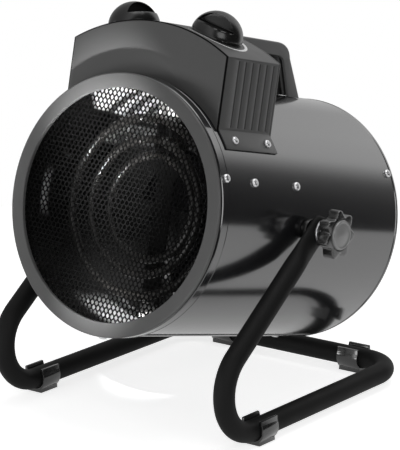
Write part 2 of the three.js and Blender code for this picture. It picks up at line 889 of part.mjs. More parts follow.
// One bent tube with its two ends pressed flat, rounded and drilled for the pivot studs.
function standTube() {
  const { tube, side, slope, tail, flat, pressed, fade, spread, facets, steps } = STAND;
  const section = new THREE.Shape();
  for (let k = 0; k < facets; k++) {
    const a = (2 * Math.PI * k) / facets;
    const at = [(tube / 2) * Math.cos(a), (tube / 2) * Math.sin(a)];
    section[k === 0 ? "moveTo" : "lineTo"](...at);
  }
  section.closePath();
  const geometry = new THREE.ExtrudeGeometry(section, {
    steps,
    extrudePath: new StandPath(),
    bevelEnabled: false,
  });
  pressEnds(geometry);
  const tools = [];
  for (const hand of [-1, 1]) {
    const eye = new THREE.CylinderGeometry(PIVOT.stud + GAP, PIVOT.stud + GAP, 60, 12);
    tools.push(eye.rotateZ(Math.PI / 2).translate(hand * side, 0, PIVOT.height));
  }
  return cut(geometry, ...tools);

  // Squeezes the tube across and lets it spread along, fading out below the pivot.
  function pressEnds(tubeGeometry) {
    const points = tubeGeometry.getAttribute("position");
    const down = turn(slope);
    const along = new THREE.Vector3(0, -Math.cos(down), -Math.sin(down));
    const across = new THREE.Vector3(0, Math.sin(down), -Math.cos(down));
    const point = new THREE.Vector3();
    for (let i = 0; i < points.count; i++) {
      point.fromBufferAttribute(points, i);
      if (point.z < PIVOT.height - 60) continue;
      const hand = Math.sign(point.x);
      const offset = point.clone().sub(new THREE.Vector3(hand * side, 0, PIVOT.height));
      const s = offset.dot(along);
      const v = offset.dot(across);
      const share = 1 - THREE.MathUtils.smoothstep(s, pressed, pressed + fade);
      const squeeze = 1 - share * (1 - flat / tube);
      const reach = Math.max(0, -s - (tail - 8));
      const round = Math.sqrt(Math.max(0.12, 1 - (reach / 9) ** 2));
      const widen = (1 + spread * share) * round;
      offset.addScaledVector(across, v * (widen - 1));
      offset.x = offset.x * squeeze;
      point.set(hand * side, 0, PIVOT.height).add(offset);
      points.setXYZ(i, point.x, point.y, point.z);
    }
  }
}

// A push-fit foot: a C round the tube with two turned-out lips and a flat sole.
function footClip() {
  const { base, wall, length } = FOOT;
  const bore = STAND.tube / 2 + GAP;
  const outer = bore + wall;
  const at = (radius, degrees) => [radius * Math.cos(turn(degrees)), radius * Math.sin(turn(degrees))];
  const section = new THREE.Shape();
  section.moveTo(...at(bore, 40));
  section.lineTo(...at(bore + 3.4, 50));
  section.lineTo(...at(bore + 5, 43));
  section.lineTo(...at(outer, 28));
  section.absarc(0, 0, outer, turn(28), turn(-50), true);
  section.lineTo(8, -base);
  section.lineTo(-8, -base);
  section.absarc(0, 0, outer, turn(230), turn(152), true);
  section.lineTo(...at(bore + 5, 137));
  section.lineTo(...at(bore + 3.4, 130));
  section.lineTo(...at(bore, 140));
  section.absarc(0, 0, bore, turn(140), turn(400), false);
  return extrude(section, length, 5).translate(0, 0, -length / 2).rotateX(Math.PI / 2);
}

function stand() {
  const group = new THREE.Group();
  group.add(part("stand_tube", standTube(), FINISH.satinBlack));
  const places = {
    foot_clip_front_left: [-STAND.side, FOOT.sideY, 0],
    foot_clip_front_right: [STAND.side, FOOT.sideY, 0],
    foot_clip_rear_left: [-FOOT.rearX, STAND.rear, 90],
    foot_clip_rear_right: [FOOT.rearX, STAND.rear, 90],
  };
  for (const [name, [x, y, heading]] of Object.entries(places)) {
    const clip = part(name, footClip(), FINISH.foot);
    clip.position.set(x, y, FOOT.base);
    clip.rotation.z = turn(heading);
    group.add(clip);
  }
  return group;
}

// ---------------------------------------------------------------- tilt pivots
// Each piece is drawn on the right, along +X; the left one is the same piece turned round.
const PIVOT_STACK = {
  bush: [DRUM.radius + 0.4, STAND.side - STAND.flat / 2 - GAP],
  washer: [STAND.side + STAND.flat / 2 + GAP, STAND.side + STAND.flat / 2 + 2.1],
};

function pivotStud() {
  const { stud } = PIVOT;
  const inside = DRUM.radius - DRUM.wall;
  return revolveAcross(
    [
      [0, inside - 3.6],
      [7, inside - 3.6],
      [7, inside - 0.6],
      [stud, inside - 0.6],
      [stud, STAR.face - 6.5],
      [0, STAR.face - 6.5],
    ],
    12,
  );
}

const pivotRing = (radius, [from, to]) =>
  revolveAcross(
    [
      [PIVOT.stud + GAP, from],
      [radius, from],
      [radius, to],
      [PIVOT.stud + GAP, to],
    ],
    14,
  );

// A clamp knob: a lobed wheel on a neck, with a plain round cap.
function starKnob() {
  const { radius, lobes, dip, lobeStart, face, cap } = STAR;
  const wheel = new THREE.Shape();
  const points = lobes * 6;
  for (let k = 0; k < points; k++) {
    const a = (2 * Math.PI * k) / points;
    const r = radius - dip + dip * Math.cos(lobes * a);
    wheel[k === 0 ? "moveTo" : "lineTo"](r * Math.cos(a), r * Math.sin(a));
  }
  wheel.closePath();
  const neckStart = PIVOT_STACK.washer[1] + GAP;
  const body = extrude(wheel, face - lobeStart).rotateY(Math.PI / 2).translate(lobeStart, 0, 0);
  const neck = revolveAcross(
    [
      [0, neckStart],
      [9.5, neckStart],
      [11.5, lobeStart + 1],
      [0, lobeStart + 1],
    ],
    20,
  );
  const dome = revolveAcross(
    [
      [0, face - 1],
      [cap, face - 1],
      [cap, face + 1],
      [cap - 1.2, face + 2],
      [0, face + 2.4],
    ],
    20,
  );
  const bore = revolveAcross(
    [
      [0, neckStart - 1],
      [PIVOT.stud + GAP, neckStart - 1],
      [PIVOT.stud + GAP, face - 5],
      [0, face - 5],
    ],
    12,
  );
  return cut(join(body, neck, dome), bore);
}

function tiltPivots() {
  const group = new THREE.Group();
  for (const [hand, heading] of Object.entries({ right: 0, left: 180 })) {
    const pieces = [
      part(`pivot_stud_${hand}`, pivotStud(), FINISH.zinc),
      part(`pivot_bush_${hand}`, pivotRing(PIVOT.bush, PIVOT_STACK.bush), FINISH.moulded),
      part(`knob_washer_${hand}`, pivotRing(PIVOT.washer, PIVOT_STACK.washer), FINISH.zinc),
      part(`star_knob_${hand}`, starKnob(), FINISH.moulded),
    ];
    for (const piece of pieces) {
      piece.rotation.z = turn(heading);
      group.add(piece);
    }
  }
  return group;
}

// ---------------------------------------------------------------- assembly
function controls() {
  const group = new THREE.Group();
  const sets = {
    left: [-1, "power_knob", dialKnob(), "power_switch", switchBody(), KNOB_TURN.power],
    right: [1, "thermostat_knob", dialKnob(), "thermostat", thermostatBody(), KNOB_TURN.thermostat],
  };
  for (const [side, knobName, knob, bodyName, body, heading] of Object.values(sets)) {
    const station = new THREE.Group();
    station.position.set(side * KNOB.x, KNOB.y, archHeight(KNOB.x));
    station.rotation.y = side * knobLean;
    const dial = part(knobName, knob, FINISH.moulded);
    dial.rotation.z = turn(heading);
    station.add(dial, part(bodyName, body, FINISH.ceramic));
    group.add(station);
  }
  return group;
}

function screws() {
  const group = new THREE.Group();
  const add = (name, angle, y, seat, length) =>
    group.add(onRadius(part(name, panScrew(length), FINISH.zinc), angle, y, seat + GAP));
  for (const [place, angle] of Object.entries(BEZEL_SCREWS)) {
    add(`bezel_screw_${place}`, angle, BEZEL_SCREW_Y, BEZEL.skirt, 4.6);
  }
  for (const [hand, side] of Object.entries({ left: -1, right: 1 })) {
    for (const [place, y] of Object.entries(FLANGE_SCREW_Y)) {
      const seat = DRUM.radius + GAP + BOX.flangeThick;
      add(`flange_screw_${hand}_${place}`, side * FLANGE_SCREW_ANGLE, y, seat, 5.2);
    }
    for (const [place, y] of Object.entries(SHIELD_SCREW_Y)) {
      const angle = side * SHIELD_SCREW_ANGLE;
      add(`shield_screw_${hand}_${place}`, angle, y, DRUM.radius, 11);
      const bush = part(`shield_spacer_${hand}_${place}`, spacer(4.5, 2.2, 2.7), FINISH.zinc);
      group.add(onRadius(bush, angle, y, SHIELD.radius + GAP));
    }
  }
  for (const [place, angle] of Object.entries(REAR_SCREWS)) {
    add(`rear_screw_${place}`, angle, REAR_SCREW_Y, DRUM.radius, 8);
  }
  return group;
}

function heater() {
  const group = new THREE.Group();
  group.add(
    part("drum_shell", drumShell(), FINISH.glossBlack),
    part("front_bezel", frontBezel(), FINISH.satinGrey),
    part("front_guard", frontGuard(), FINISH.satinBlack),
    part("inner_shield", innerShield(), FINISH.liner),
    part("rear_guard", rearGuard(), FINISH.satinBlack),
    part("element_bracket", elementBracket(), FINISH.zinc),
    part("thermal_cutout", thermalCutout(), FINISH.ceramic),
    part("motor", motor(), FINISH.aluminium),
    part("motor_bracket", motorBracket(), FINISH.zinc),
    part("fan_rotor", fanRotor(), FINISH.aluminium),
    part("fan_nut", fanNut(), FINISH.zinc),
    part("control_box_cover", boxCover(), FINISH.satinGrey),
    part("control_box_front", boxFront(), FINISH.satinGrey),
    part("control_box_rear", boxRear(), FINISH.satinGrey),
    part("cable_gland", cableGland(), FINISH.moulded),
    part("terminal_block", terminalBlock(), FINISH.ceramic),
    part("carry_handle", carryHandle(), FINISH.moulded),
  );
  for (const name of Object.keys(ELEMENTS)) {
    group.add(part(name, heatingElement(name), FINISH.sheath));
  }
  group.add(controls(), screws(), tiltPivots());
  group.position.z = PIVOT.height;
  group.rotation.x = turn(-REST_TILT);
  return group;
}

// The whole stands on the floor with its box centred over the origin.
const assembly = new THREE.Group();
assembly.add(stand(), heater());
const extent = new THREE.Box3().setFromObject(assembly, true);
assembly.position.set(-(extent.min.x + extent.max.x) / 2, -(extent.min.y + extent.max.y) / 2, -extent.min.z);

export default assembly;
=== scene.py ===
"""Looks of a round forced air heater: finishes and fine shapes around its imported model.

Shapes are drawn in millimetres in the drum's own frame (x to the right, y back along the drum,
z up, the origin where the tilt pivots cross the drum axis) or in the stand's frame, whose origin
is on the floor below that point. Each finished piece is brought into the model's frame in metres.
"""

import json
import logging
import math
from dataclasses import dataclass, field
from enum import Enum

import bmesh
import bpy
from mathutils import Matrix, Vector

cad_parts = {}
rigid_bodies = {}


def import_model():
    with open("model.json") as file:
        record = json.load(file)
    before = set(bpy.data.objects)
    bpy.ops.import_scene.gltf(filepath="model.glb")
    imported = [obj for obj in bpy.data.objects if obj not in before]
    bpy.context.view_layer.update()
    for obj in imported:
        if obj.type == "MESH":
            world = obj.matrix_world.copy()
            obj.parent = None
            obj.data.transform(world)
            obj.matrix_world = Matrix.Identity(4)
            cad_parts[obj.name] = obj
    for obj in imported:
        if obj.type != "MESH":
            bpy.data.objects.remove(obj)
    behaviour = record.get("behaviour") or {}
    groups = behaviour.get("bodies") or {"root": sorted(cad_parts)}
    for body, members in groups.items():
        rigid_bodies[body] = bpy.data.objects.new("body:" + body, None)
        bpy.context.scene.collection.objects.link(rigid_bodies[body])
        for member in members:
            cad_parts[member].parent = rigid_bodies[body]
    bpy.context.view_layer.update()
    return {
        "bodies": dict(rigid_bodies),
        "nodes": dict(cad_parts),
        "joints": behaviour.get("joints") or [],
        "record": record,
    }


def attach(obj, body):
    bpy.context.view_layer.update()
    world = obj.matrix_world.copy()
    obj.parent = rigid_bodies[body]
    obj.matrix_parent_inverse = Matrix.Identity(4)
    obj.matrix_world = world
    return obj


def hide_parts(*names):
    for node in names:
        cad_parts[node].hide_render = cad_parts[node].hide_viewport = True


LOG = logging.getLogger("heater")
MM = 0.001
WELD = 0.001  # millimetres within which points are merged
SEAM_WELD = 0.005  # the same where copies and mirror halves meet
GAP = 0.3  # millimetres that touching pieces keep between them
SHARP = 40.0  # degrees past which an edge is rounded, and shading breaks on small turned pieces
CREASE = 32.0  # degrees past which shading breaks elsewhere
BAR_CREASE = 50.0  # the same on bent bars and tubes

Point = tuple[float, ...]
Colour = tuple[float, float, float]


# ------------------------------------------------------------------ finishes
class Texture(Enum):
    """The fine surface that a finish has."""

    ENAMEL = "enamel"
    # painted light and shade inside the drum, set by place from the windows below
    HEATED = "heated"
    POWDER = "powder"
    MOULDED = "moulded"
    BRUSHED = "brushed"


@dataclass(frozen=True)
class Finish:
    """How one surface looks: its colour, its gloss and its fine texture."""

    name: str
    slot: str
    colour: Colour
    roughness: float
    texture: Texture
    metallic: float = 0.0
    coat: float = 0.0
    ior: float = 1.5
    grain: float = 900.0  # features in a metre
    depth: float = 0.02  # millimetres of bump
    mottle: float = 0.1  # how far the colour wanders


def grey(level: float) -> Colour:
    """A neutral colour."""
    return (level, level, level)


DRUM_ENAMEL = Finish(
    "drum_enamel", "gloss_black_drum", (0.009, 0.009, 0.010), 0.15, Texture.ENAMEL,
    coat=1.0, ior=1.75, grain=260.0, depth=0.004,
)
BEZEL_ENAMEL = Finish("bezel_enamel", "satin_grey_bezel", grey(0.080), 0.42, Texture.POWDER, grain=1800.0)
BOX_ENAMEL = Finish("box_enamel", "satin_grey_box", grey(0.078), 0.44, Texture.POWDER, grain=1500.0)
STAND_COAT = Finish(
    "stand_coat", "satin_black_stand", grey(0.0075), 0.6, Texture.POWDER, ior=1.25, grain=1300.0,
)
GUARD_ENAMEL = Finish(
    "guard_enamel", "black_guard", grey(0.0035), 0.6, Texture.POWDER, ior=1.13, grain=1500.0,
)
KNOB_PLASTIC = Finish("knob_plastic", "black_moulding", grey(0.010), 0.24, Texture.MOULDED, grain=700.0)
CLAMP_PLASTIC = Finish(
    "clamp_plastic", "black_moulding", grey(0.010), 0.26, Texture.MOULDED, coat=0.6, ior=1.7, grain=700.0,
)
CAP_PLASTIC = Finish(
    "cap_plastic", "black_moulding", grey(0.200), 0.32, Texture.MOULDED, coat=0.5, ior=1.6,
)
HANDLE_PLASTIC = Finish(
    "handle_plastic", "charcoal_handle", grey(0.130), 0.42, Texture.MOULDED, grain=800.0,
)
FOOT_PLASTIC = Finish(
    "foot_plastic", "foot_plastic", grey(0.016), 0.16, Texture.MOULDED, coat=0.7, ior=1.6, grain=500.0,
)
ZINC = Finish(
    "bright_zinc_plate", "bright_zinc", (0.82, 0.82, 0.83), 0.36, Texture.BRUSHED, metallic=1.0, depth=0.01,
)
# The liner, the drum's bare inside and the element bracket get painted light and shade by place.
LINER_STEEL = Finish(
    "liner_steel", "bright_liner", (0.88, 0.88, 0.89), 0.34, Texture.HEATED, metallic=0.25, grain=300.0,
)
BRACKET_STEEL = Finish(
    "bracket_steel", "heating_sheath", (0.80, 0.79, 0.78), 0.6, Texture.HEATED, metallic=0.25, ior=1.2,
)
ROD_SHEATH = Finish(
    "rod_sheath", "heating_sheath", (0.018, 0.017, 0.016), 0.3, Texture.POWDER,
    grain=600.0, depth=0.03, mottle=0.3,
)
FAN_METAL = Finish("fan_metal", "fan_aluminium", (0.008, 0.008, 0.009), 0.7, Texture.POWDER, ior=1.2)
MOTOR_METAL = Finish("motor_metal", "motor_steel", (0.020, 0.020, 0.021), 0.4, Texture.POWDER)
CERAMIC = Finish("pale_ceramic", "pale_ceramic", (0.60, 0.57, 0.50), 0.6, Texture.MOULDED, mottle=0.2)
PRINT_WHITE = Finish(
    "printed_white", "satin_grey_box", grey(0.96), 0.5, Texture.POWDER, grain=1500.0, depth=0.005,
)

# Painted light inside the drum: windows where the steel keeps its colour, painted as lit patches and a glint,
# with painted shade in near black everywhere else. The first is the lit crescent at the top, the second a lit
# patch lower on the left, the third the lit patch at the bottom and the fourth a painted highlight on the
# walls near the front.
# Each window is a list of ramps: the direction it runs in, in the drum's frame, and the millimetres at which
# it starts and is full.
PAINTED_LIGHT_WINDOWS = (
    (((0, 0.09, 1), 68, 70), ((1, 0.65, 0), -125, -119)),
    (((0, 0, 1), 44, 50), ((0, 0, -1), -66, -62), ((0, 1, 0), -43, -37), ((-1, 0, 0), 50, 60)),
    (((0, 0, -1), 80, 92), ((0, 1, 0), -92, -74), ((0, -1, 0), 18, 30)),
    (((0, 1, 0), -99, -95), ((0, -1, 0), 86, 92), ((0, 0, 1), -24, -6), ((0, 0, -1), -24, -6)),
)
# painted shade: the near black put on the steel inside the drum outside the lit windows
PAINTED_SHADE_BLACK = (0.005, 0.005, 0.005, 1.0)
WHITE = (1.0, 1.0, 1.0, 1.0)
COAT_ROUGHNESS = 0.15
BUMP_STRENGTH = 0.6
PLAIN = (1.0, 1.0, 1.0)
DRAWN_OUT = (1.0, 0.08, 1.0)  # how brushing draws the pattern out along y
FINE_DETAIL, BROAD_DETAIL = 3.0, 4.0
BROAD_SCALE = 35.0  # patches in a metre
GLOSS_SWAY = (0.82, 1.18)  # what the roughness is multiplied by, from patch to patch


class NodeDesk:
    """Adds nodes to one tree and wires them up."""

    def __init__(self, tree: bpy.types.NodeTree) -> None:
        """Starts work on a tree."""
        self.tree = tree

    def add(
        self, kind: str, inputs: dict[str | int, object] | None = None, **settings: object,
    ) -> bpy.types.Node:
        """Adds a node.

        Args:
            kind: The node's type.
            inputs: What goes into it, by the input's name or number: a value, or another's output.
            settings: The node's own settings, which are made first.

        Returns:
            The node.
        """
        node = self.tree.nodes.new(kind)
        for key, value in settings.items():
            setattr(node, key, value)
        self.feed(node, inputs or {})
        return node

    def feed(self, node: bpy.types.Node, inputs: dict[str | int, object]) -> None:
        """Gives a node its inputs.

        Args:
            node: The node.
            inputs: As for add.
        """
        for key, value in inputs.items():
            if isinstance(value, bpy.types.NodeSocket):
                self.tree.links.new(value, node.inputs[key])
            else:
                node.inputs[key].default_value = value

    def maths(self, operation: str, *values: object) -> bpy.types.NodeSocket:
        """The result of a maths operation on values or outputs."""
        return self.add("ShaderNodeMath", dict(enumerate(values)), operation=operation).outputs["Value"]


class PaintShop:
    """Makes one material for each finish, from two shared texture groups."""

    def __init__(self, drum_frame: Matrix) -> None:
        """Builds the two texture groups once.

        Args:
            drum_frame: The drum's frame, in which the painted light and shade are placed.
        """
        self.made: dict[str, bpy.types.Material] = {}
        self.drum_frame = drum_frame
        self.grain = self._texture_group("fine_grain", PLAIN)
        self.streaks = self._texture_group("brushed_streaks", DRAWN_OUT)

    def _texture_group(self, name: str, stretch: Point) -> bpy.types.ShaderNodeTree:
        """A noise texture that varies height, roughness and colour.

        Args:
            name: What the group is called.
            stretch: How the pattern is scaled along x, y and z.

        Returns:
            The node group.
        """
        tree = bpy.data.node_groups.new(name, "ShaderNodeTree")
        for label, way in (
            ("Scale", "INPUT"), ("Roughness", "INPUT"), ("Mottle", "INPUT"),
            ("Height", "OUTPUT"), ("Roughness", "OUTPUT"), ("Tint", "OUTPUT"),
        ):
            tree.interface.new_socket(label, in_out=way, socket_type="NodeSocketFloat")
        desk = NodeDesk(tree)
        given = desk.add("NodeGroupInput").outputs
        place = desk.add("ShaderNodeTexCoord").outputs["Object"]
        mapped = desk.add("ShaderNodeMapping", {"Vector": place, "Scale": stretch}).outputs["Vector"]
        fine = desk.add("ShaderNodeTexNoise", {
            "Vector": mapped, "Scale": given["Scale"], "Detail": FINE_DETAIL,
        }).outputs["Fac"]
        broad = desk.add("ShaderNodeTexNoise", {
            "Vector": mapped, "Scale": BROAD_SCALE, "Detail": BROAD_DETAIL,
        }).outputs["Fac"]
        sway = desk.add("ShaderNodeMapRange", {
            "Value": broad, "To Min": GLOSS_SWAY[0], "To Max": GLOSS_SWAY[1],
        }).outputs["Result"]
        centred = desk.maths("SUBTRACT", broad, 0.5)
        desk.add("NodeGroupOutput", {
            "Height": fine,
            "Roughness": desk.maths("MULTIPLY", given["Roughness"], sway),
            "Tint": desk.maths("MULTIPLY_ADD", centred, given["Mottle"], 1.0),
        })
        return tree

    def material(self, finish: Finish) -> bpy.types.Material:
        """The material for a finish, made at its first use.

        Args:
            finish: The finish to make.

        Returns:
            Its material.
        """
        if finish.name in self.made:
            return self.made[finish.name]
        material = bpy.data.materials.new(finish.name)
        material.use_nodes = True
        desk = NodeDesk(material.node_tree)
        texture = desk.add("ShaderNodeGroup", {
            "Scale": finish.grain, "Roughness": finish.roughness, "Mottle": finish.mottle,
        }, node_tree=self.streaks if finish.texture is Texture.BRUSHED else self.grain).outputs
        colour = desk.add("ShaderNodeVectorMath", {
            0: finish.colour, "Scale": texture["Tint"],
        }, operation="SCALE").outputs["Vector"]
        # Paints light and shade on the steel inside the drum by place.
        if finish.texture is Texture.HEATED:
            colour = self._paint_light_and_shade(desk, colour)
        bump = desk.add("ShaderNodeBump", {
            "Strength": BUMP_STRENGTH, "Distance": finish.depth * MM, "Height": texture["Height"],
        }).outputs["Normal"]
        desk.feed(desk.tree.nodes["Principled BSDF"], {
            "Base Color": colour, "Roughness": texture["Roughness"], "Normal": bump,
            "Metallic": finish.metallic, "IOR": finish.ior,
            "Coat Weight": finish.coat, "Coat Roughness": COAT_ROUGHNESS,
        })
        self.made[finish.name] = material
        return material

    def _ramp(
        self, desk: NodeDesk, place: bpy.types.NodeSocket, way: Point, start: float, full: float,
    ) -> bpy.types.NodeSocket:
        """A value that rises from nought to one along a direction in the drum's frame.

        Args:
            desk: The desk it is made at.
            place: The output that gives the place.
            way: The direction.
            start: The distance in millimetres where it starts to rise.
            full: The distance where it reaches one.

        Returns:
            The output that gives it.
        """
        turned = self.drum_frame.to_3x3() @ Vector(way)
        offset = self.drum_frame.translation.dot(turned)
        along = desk.add("ShaderNodeVectorMath", {0: place, 1: turned}, operation="DOT_PRODUCT")
        rise = desk.add("ShaderNodeMapRange", {
            "Value": along.outputs["Value"], "From Min": start * MM + offset, "From Max": full * MM + offset,
        }, interpolation_type="SMOOTHSTEP")
        return rise.outputs["Result"]

    def _merge(
        self, desk: NodeDesk, values: list[bpy.types.NodeSocket], operation: str,
    ) -> bpy.types.NodeSocket:
        """Merges values into one with a chain of one operation.

        Args:
            desk: The desk they are made at.
            values: The outputs that give them.
            operation: The operation's name.

        Returns:
            The output that gives the result.
        """
        merged = values[0]
        for value in values[1:]:
            merged = desk.maths(operation, merged, value)
        return merged

    def _paint_light_and_shade(self, desk: NodeDesk, steel_colour: bpy.types.NodeSocket) -> bpy.types.NodeSocket:
        """Paints shade as near black on the steel inside the drum, outside its windows of painted light.

        Args:
            desk: The desk of the material to work on.
            steel_colour: The output that gives the steel's own colour, kept in the windows of painted light.

        Returns:
            The output that gives the colour with the painted light and shade.
        """
        place = desk.add("ShaderNodeTexCoord").outputs["Object"]
        windows = []
        for ramps in PAINTED_LIGHT_WINDOWS:
            masks = [self._ramp(desk, place, *ramp) for ramp in ramps]
            windows.append(self._merge(desk, masks, "MINIMUM"))
        bright = self._merge(desk, windows, "MAXIMUM")
        blend = desk.add("ShaderNodeMix", {"Factor": bright, "A": PAINTED_SHADE_BLACK, "B": steel_colour}, data_type="RGBA")
        return blend.outputs["Result"]


# ------------------------------------------------------------------ modelling bench
def polar(radius: float, degrees: float, centre: Point = (0.0, 0.0)) -> Point:
    """The point of a circle at an angle from its +x side."""
    angle = math.radians(degrees)
    return (centre[0] + radius * math.cos(angle), centre[1] + radius * math.sin(angle))


def arc(radius: float, start: float, end: float, steps: int, centre: Point = (0.0, 0.0)) -> list[Point]:
    """Points along an arc from start to end degrees, both ends among them."""
    return [polar(radius, start + (end - start) * k / steps, centre) for k in range(steps + 1)]


def curve(start: Point, pull: Point, end: Point, steps: int = 12) -> list[Point]:
    """Points along a quadratic curve.

    Args:
        start: Where it starts.
        pull: The corner that it is drawn towards.
        end: Where it ends.
        steps: How many chords it has.

    Returns:
        Its points, both ends among them.
    """
    points = []
    for k in range(steps + 1):
        t = k / steps
        points.append(tuple(
            (1 - t) ** 2 * a + 2 * t * (1 - t) * b + t**2 * c for a, b, c in zip(start, pull, end)
        ))
    return points


def about(axis: str, degrees: float) -> Matrix:
    """A turn about one of the axes."""
    return Matrix.Rotation(math.radians(degrees), 4, axis)


class Bench:
    """Modelling by operators, as by hand: one piece at a time, in millimetres."""

    def clear(self) -> None:
        """Leaves edit mode and deselects everything."""
        if bpy.context.mode != "OBJECT":
            bpy.ops.object.mode_set(mode="OBJECT")
        bpy.ops.object.select_all(action="DESELECT")

    def take(self, piece: bpy.types.Object) -> None:
        """Selects one piece alone and makes it active.

        Args:
            piece: The piece.
        """
        self.clear()
        piece.select_set(True)
        bpy.context.view_layer.objects.active = piece

    def edit(self, action: str = "SELECT") -> None:
        """Starts to edit the active piece, with all or none of it selected."""
        bpy.ops.object.mode_set(mode="EDIT")
        bpy.ops.mesh.select_all(action=action)

    def chain(self, name: str, points: list[Point], closed: bool = True) -> bpy.types.Object:
        """A line of edges, drawn by extruding one point to the next.

        Args:
            name: What the piece is called.
            points: The corners, with two or three numbers each.
            closed: Whether the line returns to its first point.

        Returns:
            The piece, left in edit mode with all of it selected.
        """
        self.clear()
        bpy.ops.mesh.primitive_plane_add(size=1.0)
        piece = bpy.context.object
        piece.name = name
        corners = [Vector((*p, 0.0)) if len(p) == 2 else Vector(p) for p in points]
        self.edit()
        bpy.ops.mesh.merge(type="CENTER")
        bpy.ops.transform.translate(value=corners[0])
        path = corners[1:] + ([corners[0]] if closed else [])
        at = corners[0]
        for corner in path:
            bpy.ops.mesh.extrude_region_move(TRANSFORM_OT_translate={"value": corner - at})
            at = corner
        bpy.ops.mesh.select_all(action="SELECT")
        bpy.ops.mesh.remove_doubles(threshold=WELD)
        return piece

    def seal(self, piece: bpy.types.Object) -> bpy.types.Object:
        """Merges doubled points, turns the faces outwards and leaves edit mode.

        Args:
            piece: The piece, in edit mode.

        Returns:
            The piece.
        """
        bpy.ops.mesh.select_all(action="SELECT")
        bpy.ops.mesh.remove_doubles(threshold=WELD)
        bpy.ops.mesh.normals_make_consistent(inside=False)
        bpy.ops.object.mode_set(mode="OBJECT")
        return piece

    def lathe(self, name: str, profile: list[Point], steps: int, closed: bool = True) -> bpy.types.Object:
        """A profile of (radius, y) points spun about the y axis.

        Args:
            name: What the piece is called.
            profile: The outline's corners.
            steps: Facets round the axis.
            closed: False for a profile that starts and ends on the axis.

        Returns:
            The piece, in object mode.
        """
        piece = self.chain(name, profile, closed)
        bpy.ops.mesh.spin(steps=steps, angle=2 * math.pi, center=(0, 0, 0), axis=(0, 1, 0))
        return self.seal(piece)

    def prism(self, name: str, outline: list[Point], low: float, high: float) -> bpy.types.Object:
        """An outline in x and y made solid from z = low to z = high.

        Args:
            name: What the piece is called.
            outline: The outline's corners.
            low: Where the solid starts.
            high: Where it ends.

        Returns:
            The piece, in object mode.
        """
        piece = self.chain(name, [(x, y, low) for x, y in outline])
        bpy.ops.mesh.edge_face_add()
        bpy.ops.mesh.extrude_region_move(TRANSFORM_OT_translate={"value": (0, 0, high - low)})
        return self.seal(piece)

    def slab(self, name: str, outline: list[Point], front: float, rear: float) -> bpy.types.Object:
        """An outline drawn in x and z, made solid from y = front to y = rear."""
        return self.turn(self.prism(name, outline, -rear, -front), about("X", 90))

    def side_slab(self, name: str, outline: list[Point], left: float, right: float) -> bpy.types.Object:
        """An outline drawn in y and z, made solid from x = left to x = right."""
        piece = self.prism(name, outline, left, right)
        return self.turn(piece, Matrix(((0, 0, 1, 0), (1, 0, 0, 0), (0, 1, 0, 0), (0, 0, 0, 1))))

    def block(self, name: str, size: Point, centre: Point) -> bpy.types.Object:
        """A block to cut with.

        Args:
            name: What it is called.
            size: Its size along x, y and z.
            centre: Where its centre is.

        Returns:
            The block.
        """
        self.clear()
        bpy.ops.mesh.primitive_cube_add(size=1.0, location=centre)
        piece = bpy.context.object
        piece.name = name
        piece.scale = size
        bpy.ops.object.transform_apply(location=True, rotation=True, scale=True)
        return piece

    def bar(self, radius: float, length: float, centre: Point, facets: int) -> bpy.types.Object:
        """A round bar along y to cut with.

        Args:
            radius: Its radius.
            length: Its length.
            centre: Where its centre is.
            facets: Facets round it.

        Returns:
            The bar.
        """
        self.clear()
        bpy.ops.mesh.primitive_cylinder_add(
            vertices=facets, radius=radius, depth=length, rotation=(math.radians(90), 0, 0), location=centre,
        )
        return bpy.context.object

    def turn(self, piece: bpy.types.Object, matrix: Matrix) -> bpy.types.Object:
        """Moves a piece by a matrix and applies it, so that its place is in its mesh.

        Args:
            piece: The piece.
            matrix: The matrix.

        Returns:
            The piece.
        """
        self.take(piece)
        piece.matrix_world = matrix
        bpy.ops.object.transform_apply(location=True, rotation=True, scale=True)
        return piece

    def apply(self, piece: bpy.types.Object, kind: str, **settings: object) -> bpy.types.Object:
        """Adds a modifier and applies it.

        Args:
            piece: The piece to work on.
            kind: The modifier's type.
            settings: Its settings.

        Returns:
            The piece.
        """
        self.take(piece)
        modifier = piece.modifiers.new(kind.lower(), kind)
        for key, value in settings.items():
            setattr(modifier, key, value)
        bpy.ops.object.modifier_apply(modifier=modifier.name)
        return piece

    def soften(
        self, piece: bpy.types.Object, width: float, segments: int = 2, angle: float = SHARP,
    ) -> bpy.types.Object:
        """Rounds every edge sharper than an angle."""
        return self.apply(
            piece, "BEVEL", width=width, segments=segments, limit_method="ANGLE",
            angle_limit=math.radians(angle), use_clamp_overlap=True, miter_outer="MITER_ARC",
        )

    def combine(
        self, piece: bpy.types.Object, tools: list[bpy.types.Object], operation: str,
    ) -> bpy.types.Object:
        """Cuts, joins or intersects a piece with tools, which are used up.

        Args:
            piece: The piece to work on.
            tools: The solids to combine it with.
            operation: DIFFERENCE, UNION or INTERSECT.

        Returns:
            The piece.
        """
        for tool in tools:
            self.apply(piece, "BOOLEAN", operation=operation, object=tool, solver="EXACT")
            bpy.data.objects.remove(tool)
        return piece

    def cut(self, piece: bpy.types.Object, *tools: bpy.types.Object) -> bpy.types.Object:
        """Takes tools away from a piece."""
        return self.combine(piece, list(tools), "DIFFERENCE")

    def weld(self, piece: bpy.types.Object, *others: bpy.types.Object) -> bpy.types.Object:
        """Makes one solid of a piece and others that it meets."""
        return self.combine(piece, list(others), "UNION")

    def gather(self, piece: bpy.types.Object, *others: bpy.types.Object) -> bpy.types.Object:
        """Keeps other closed solids in the same piece.

        Args:
            piece: The piece.
            others: The solids that it takes in.

        Returns:
            The piece.
        """
        self.take(piece)
        for other in others:
            other.select_set(True)
        bpy.ops.object.join()
        return piece

    def mirror(self, piece: bpy.types.Object) -> bpy.types.Object:
        """Adds the other half of a piece drawn up to x = 0."""
        return self.apply(piece, "MIRROR", use_axis=(True, False, False), merge_threshold=SEAM_WELD)

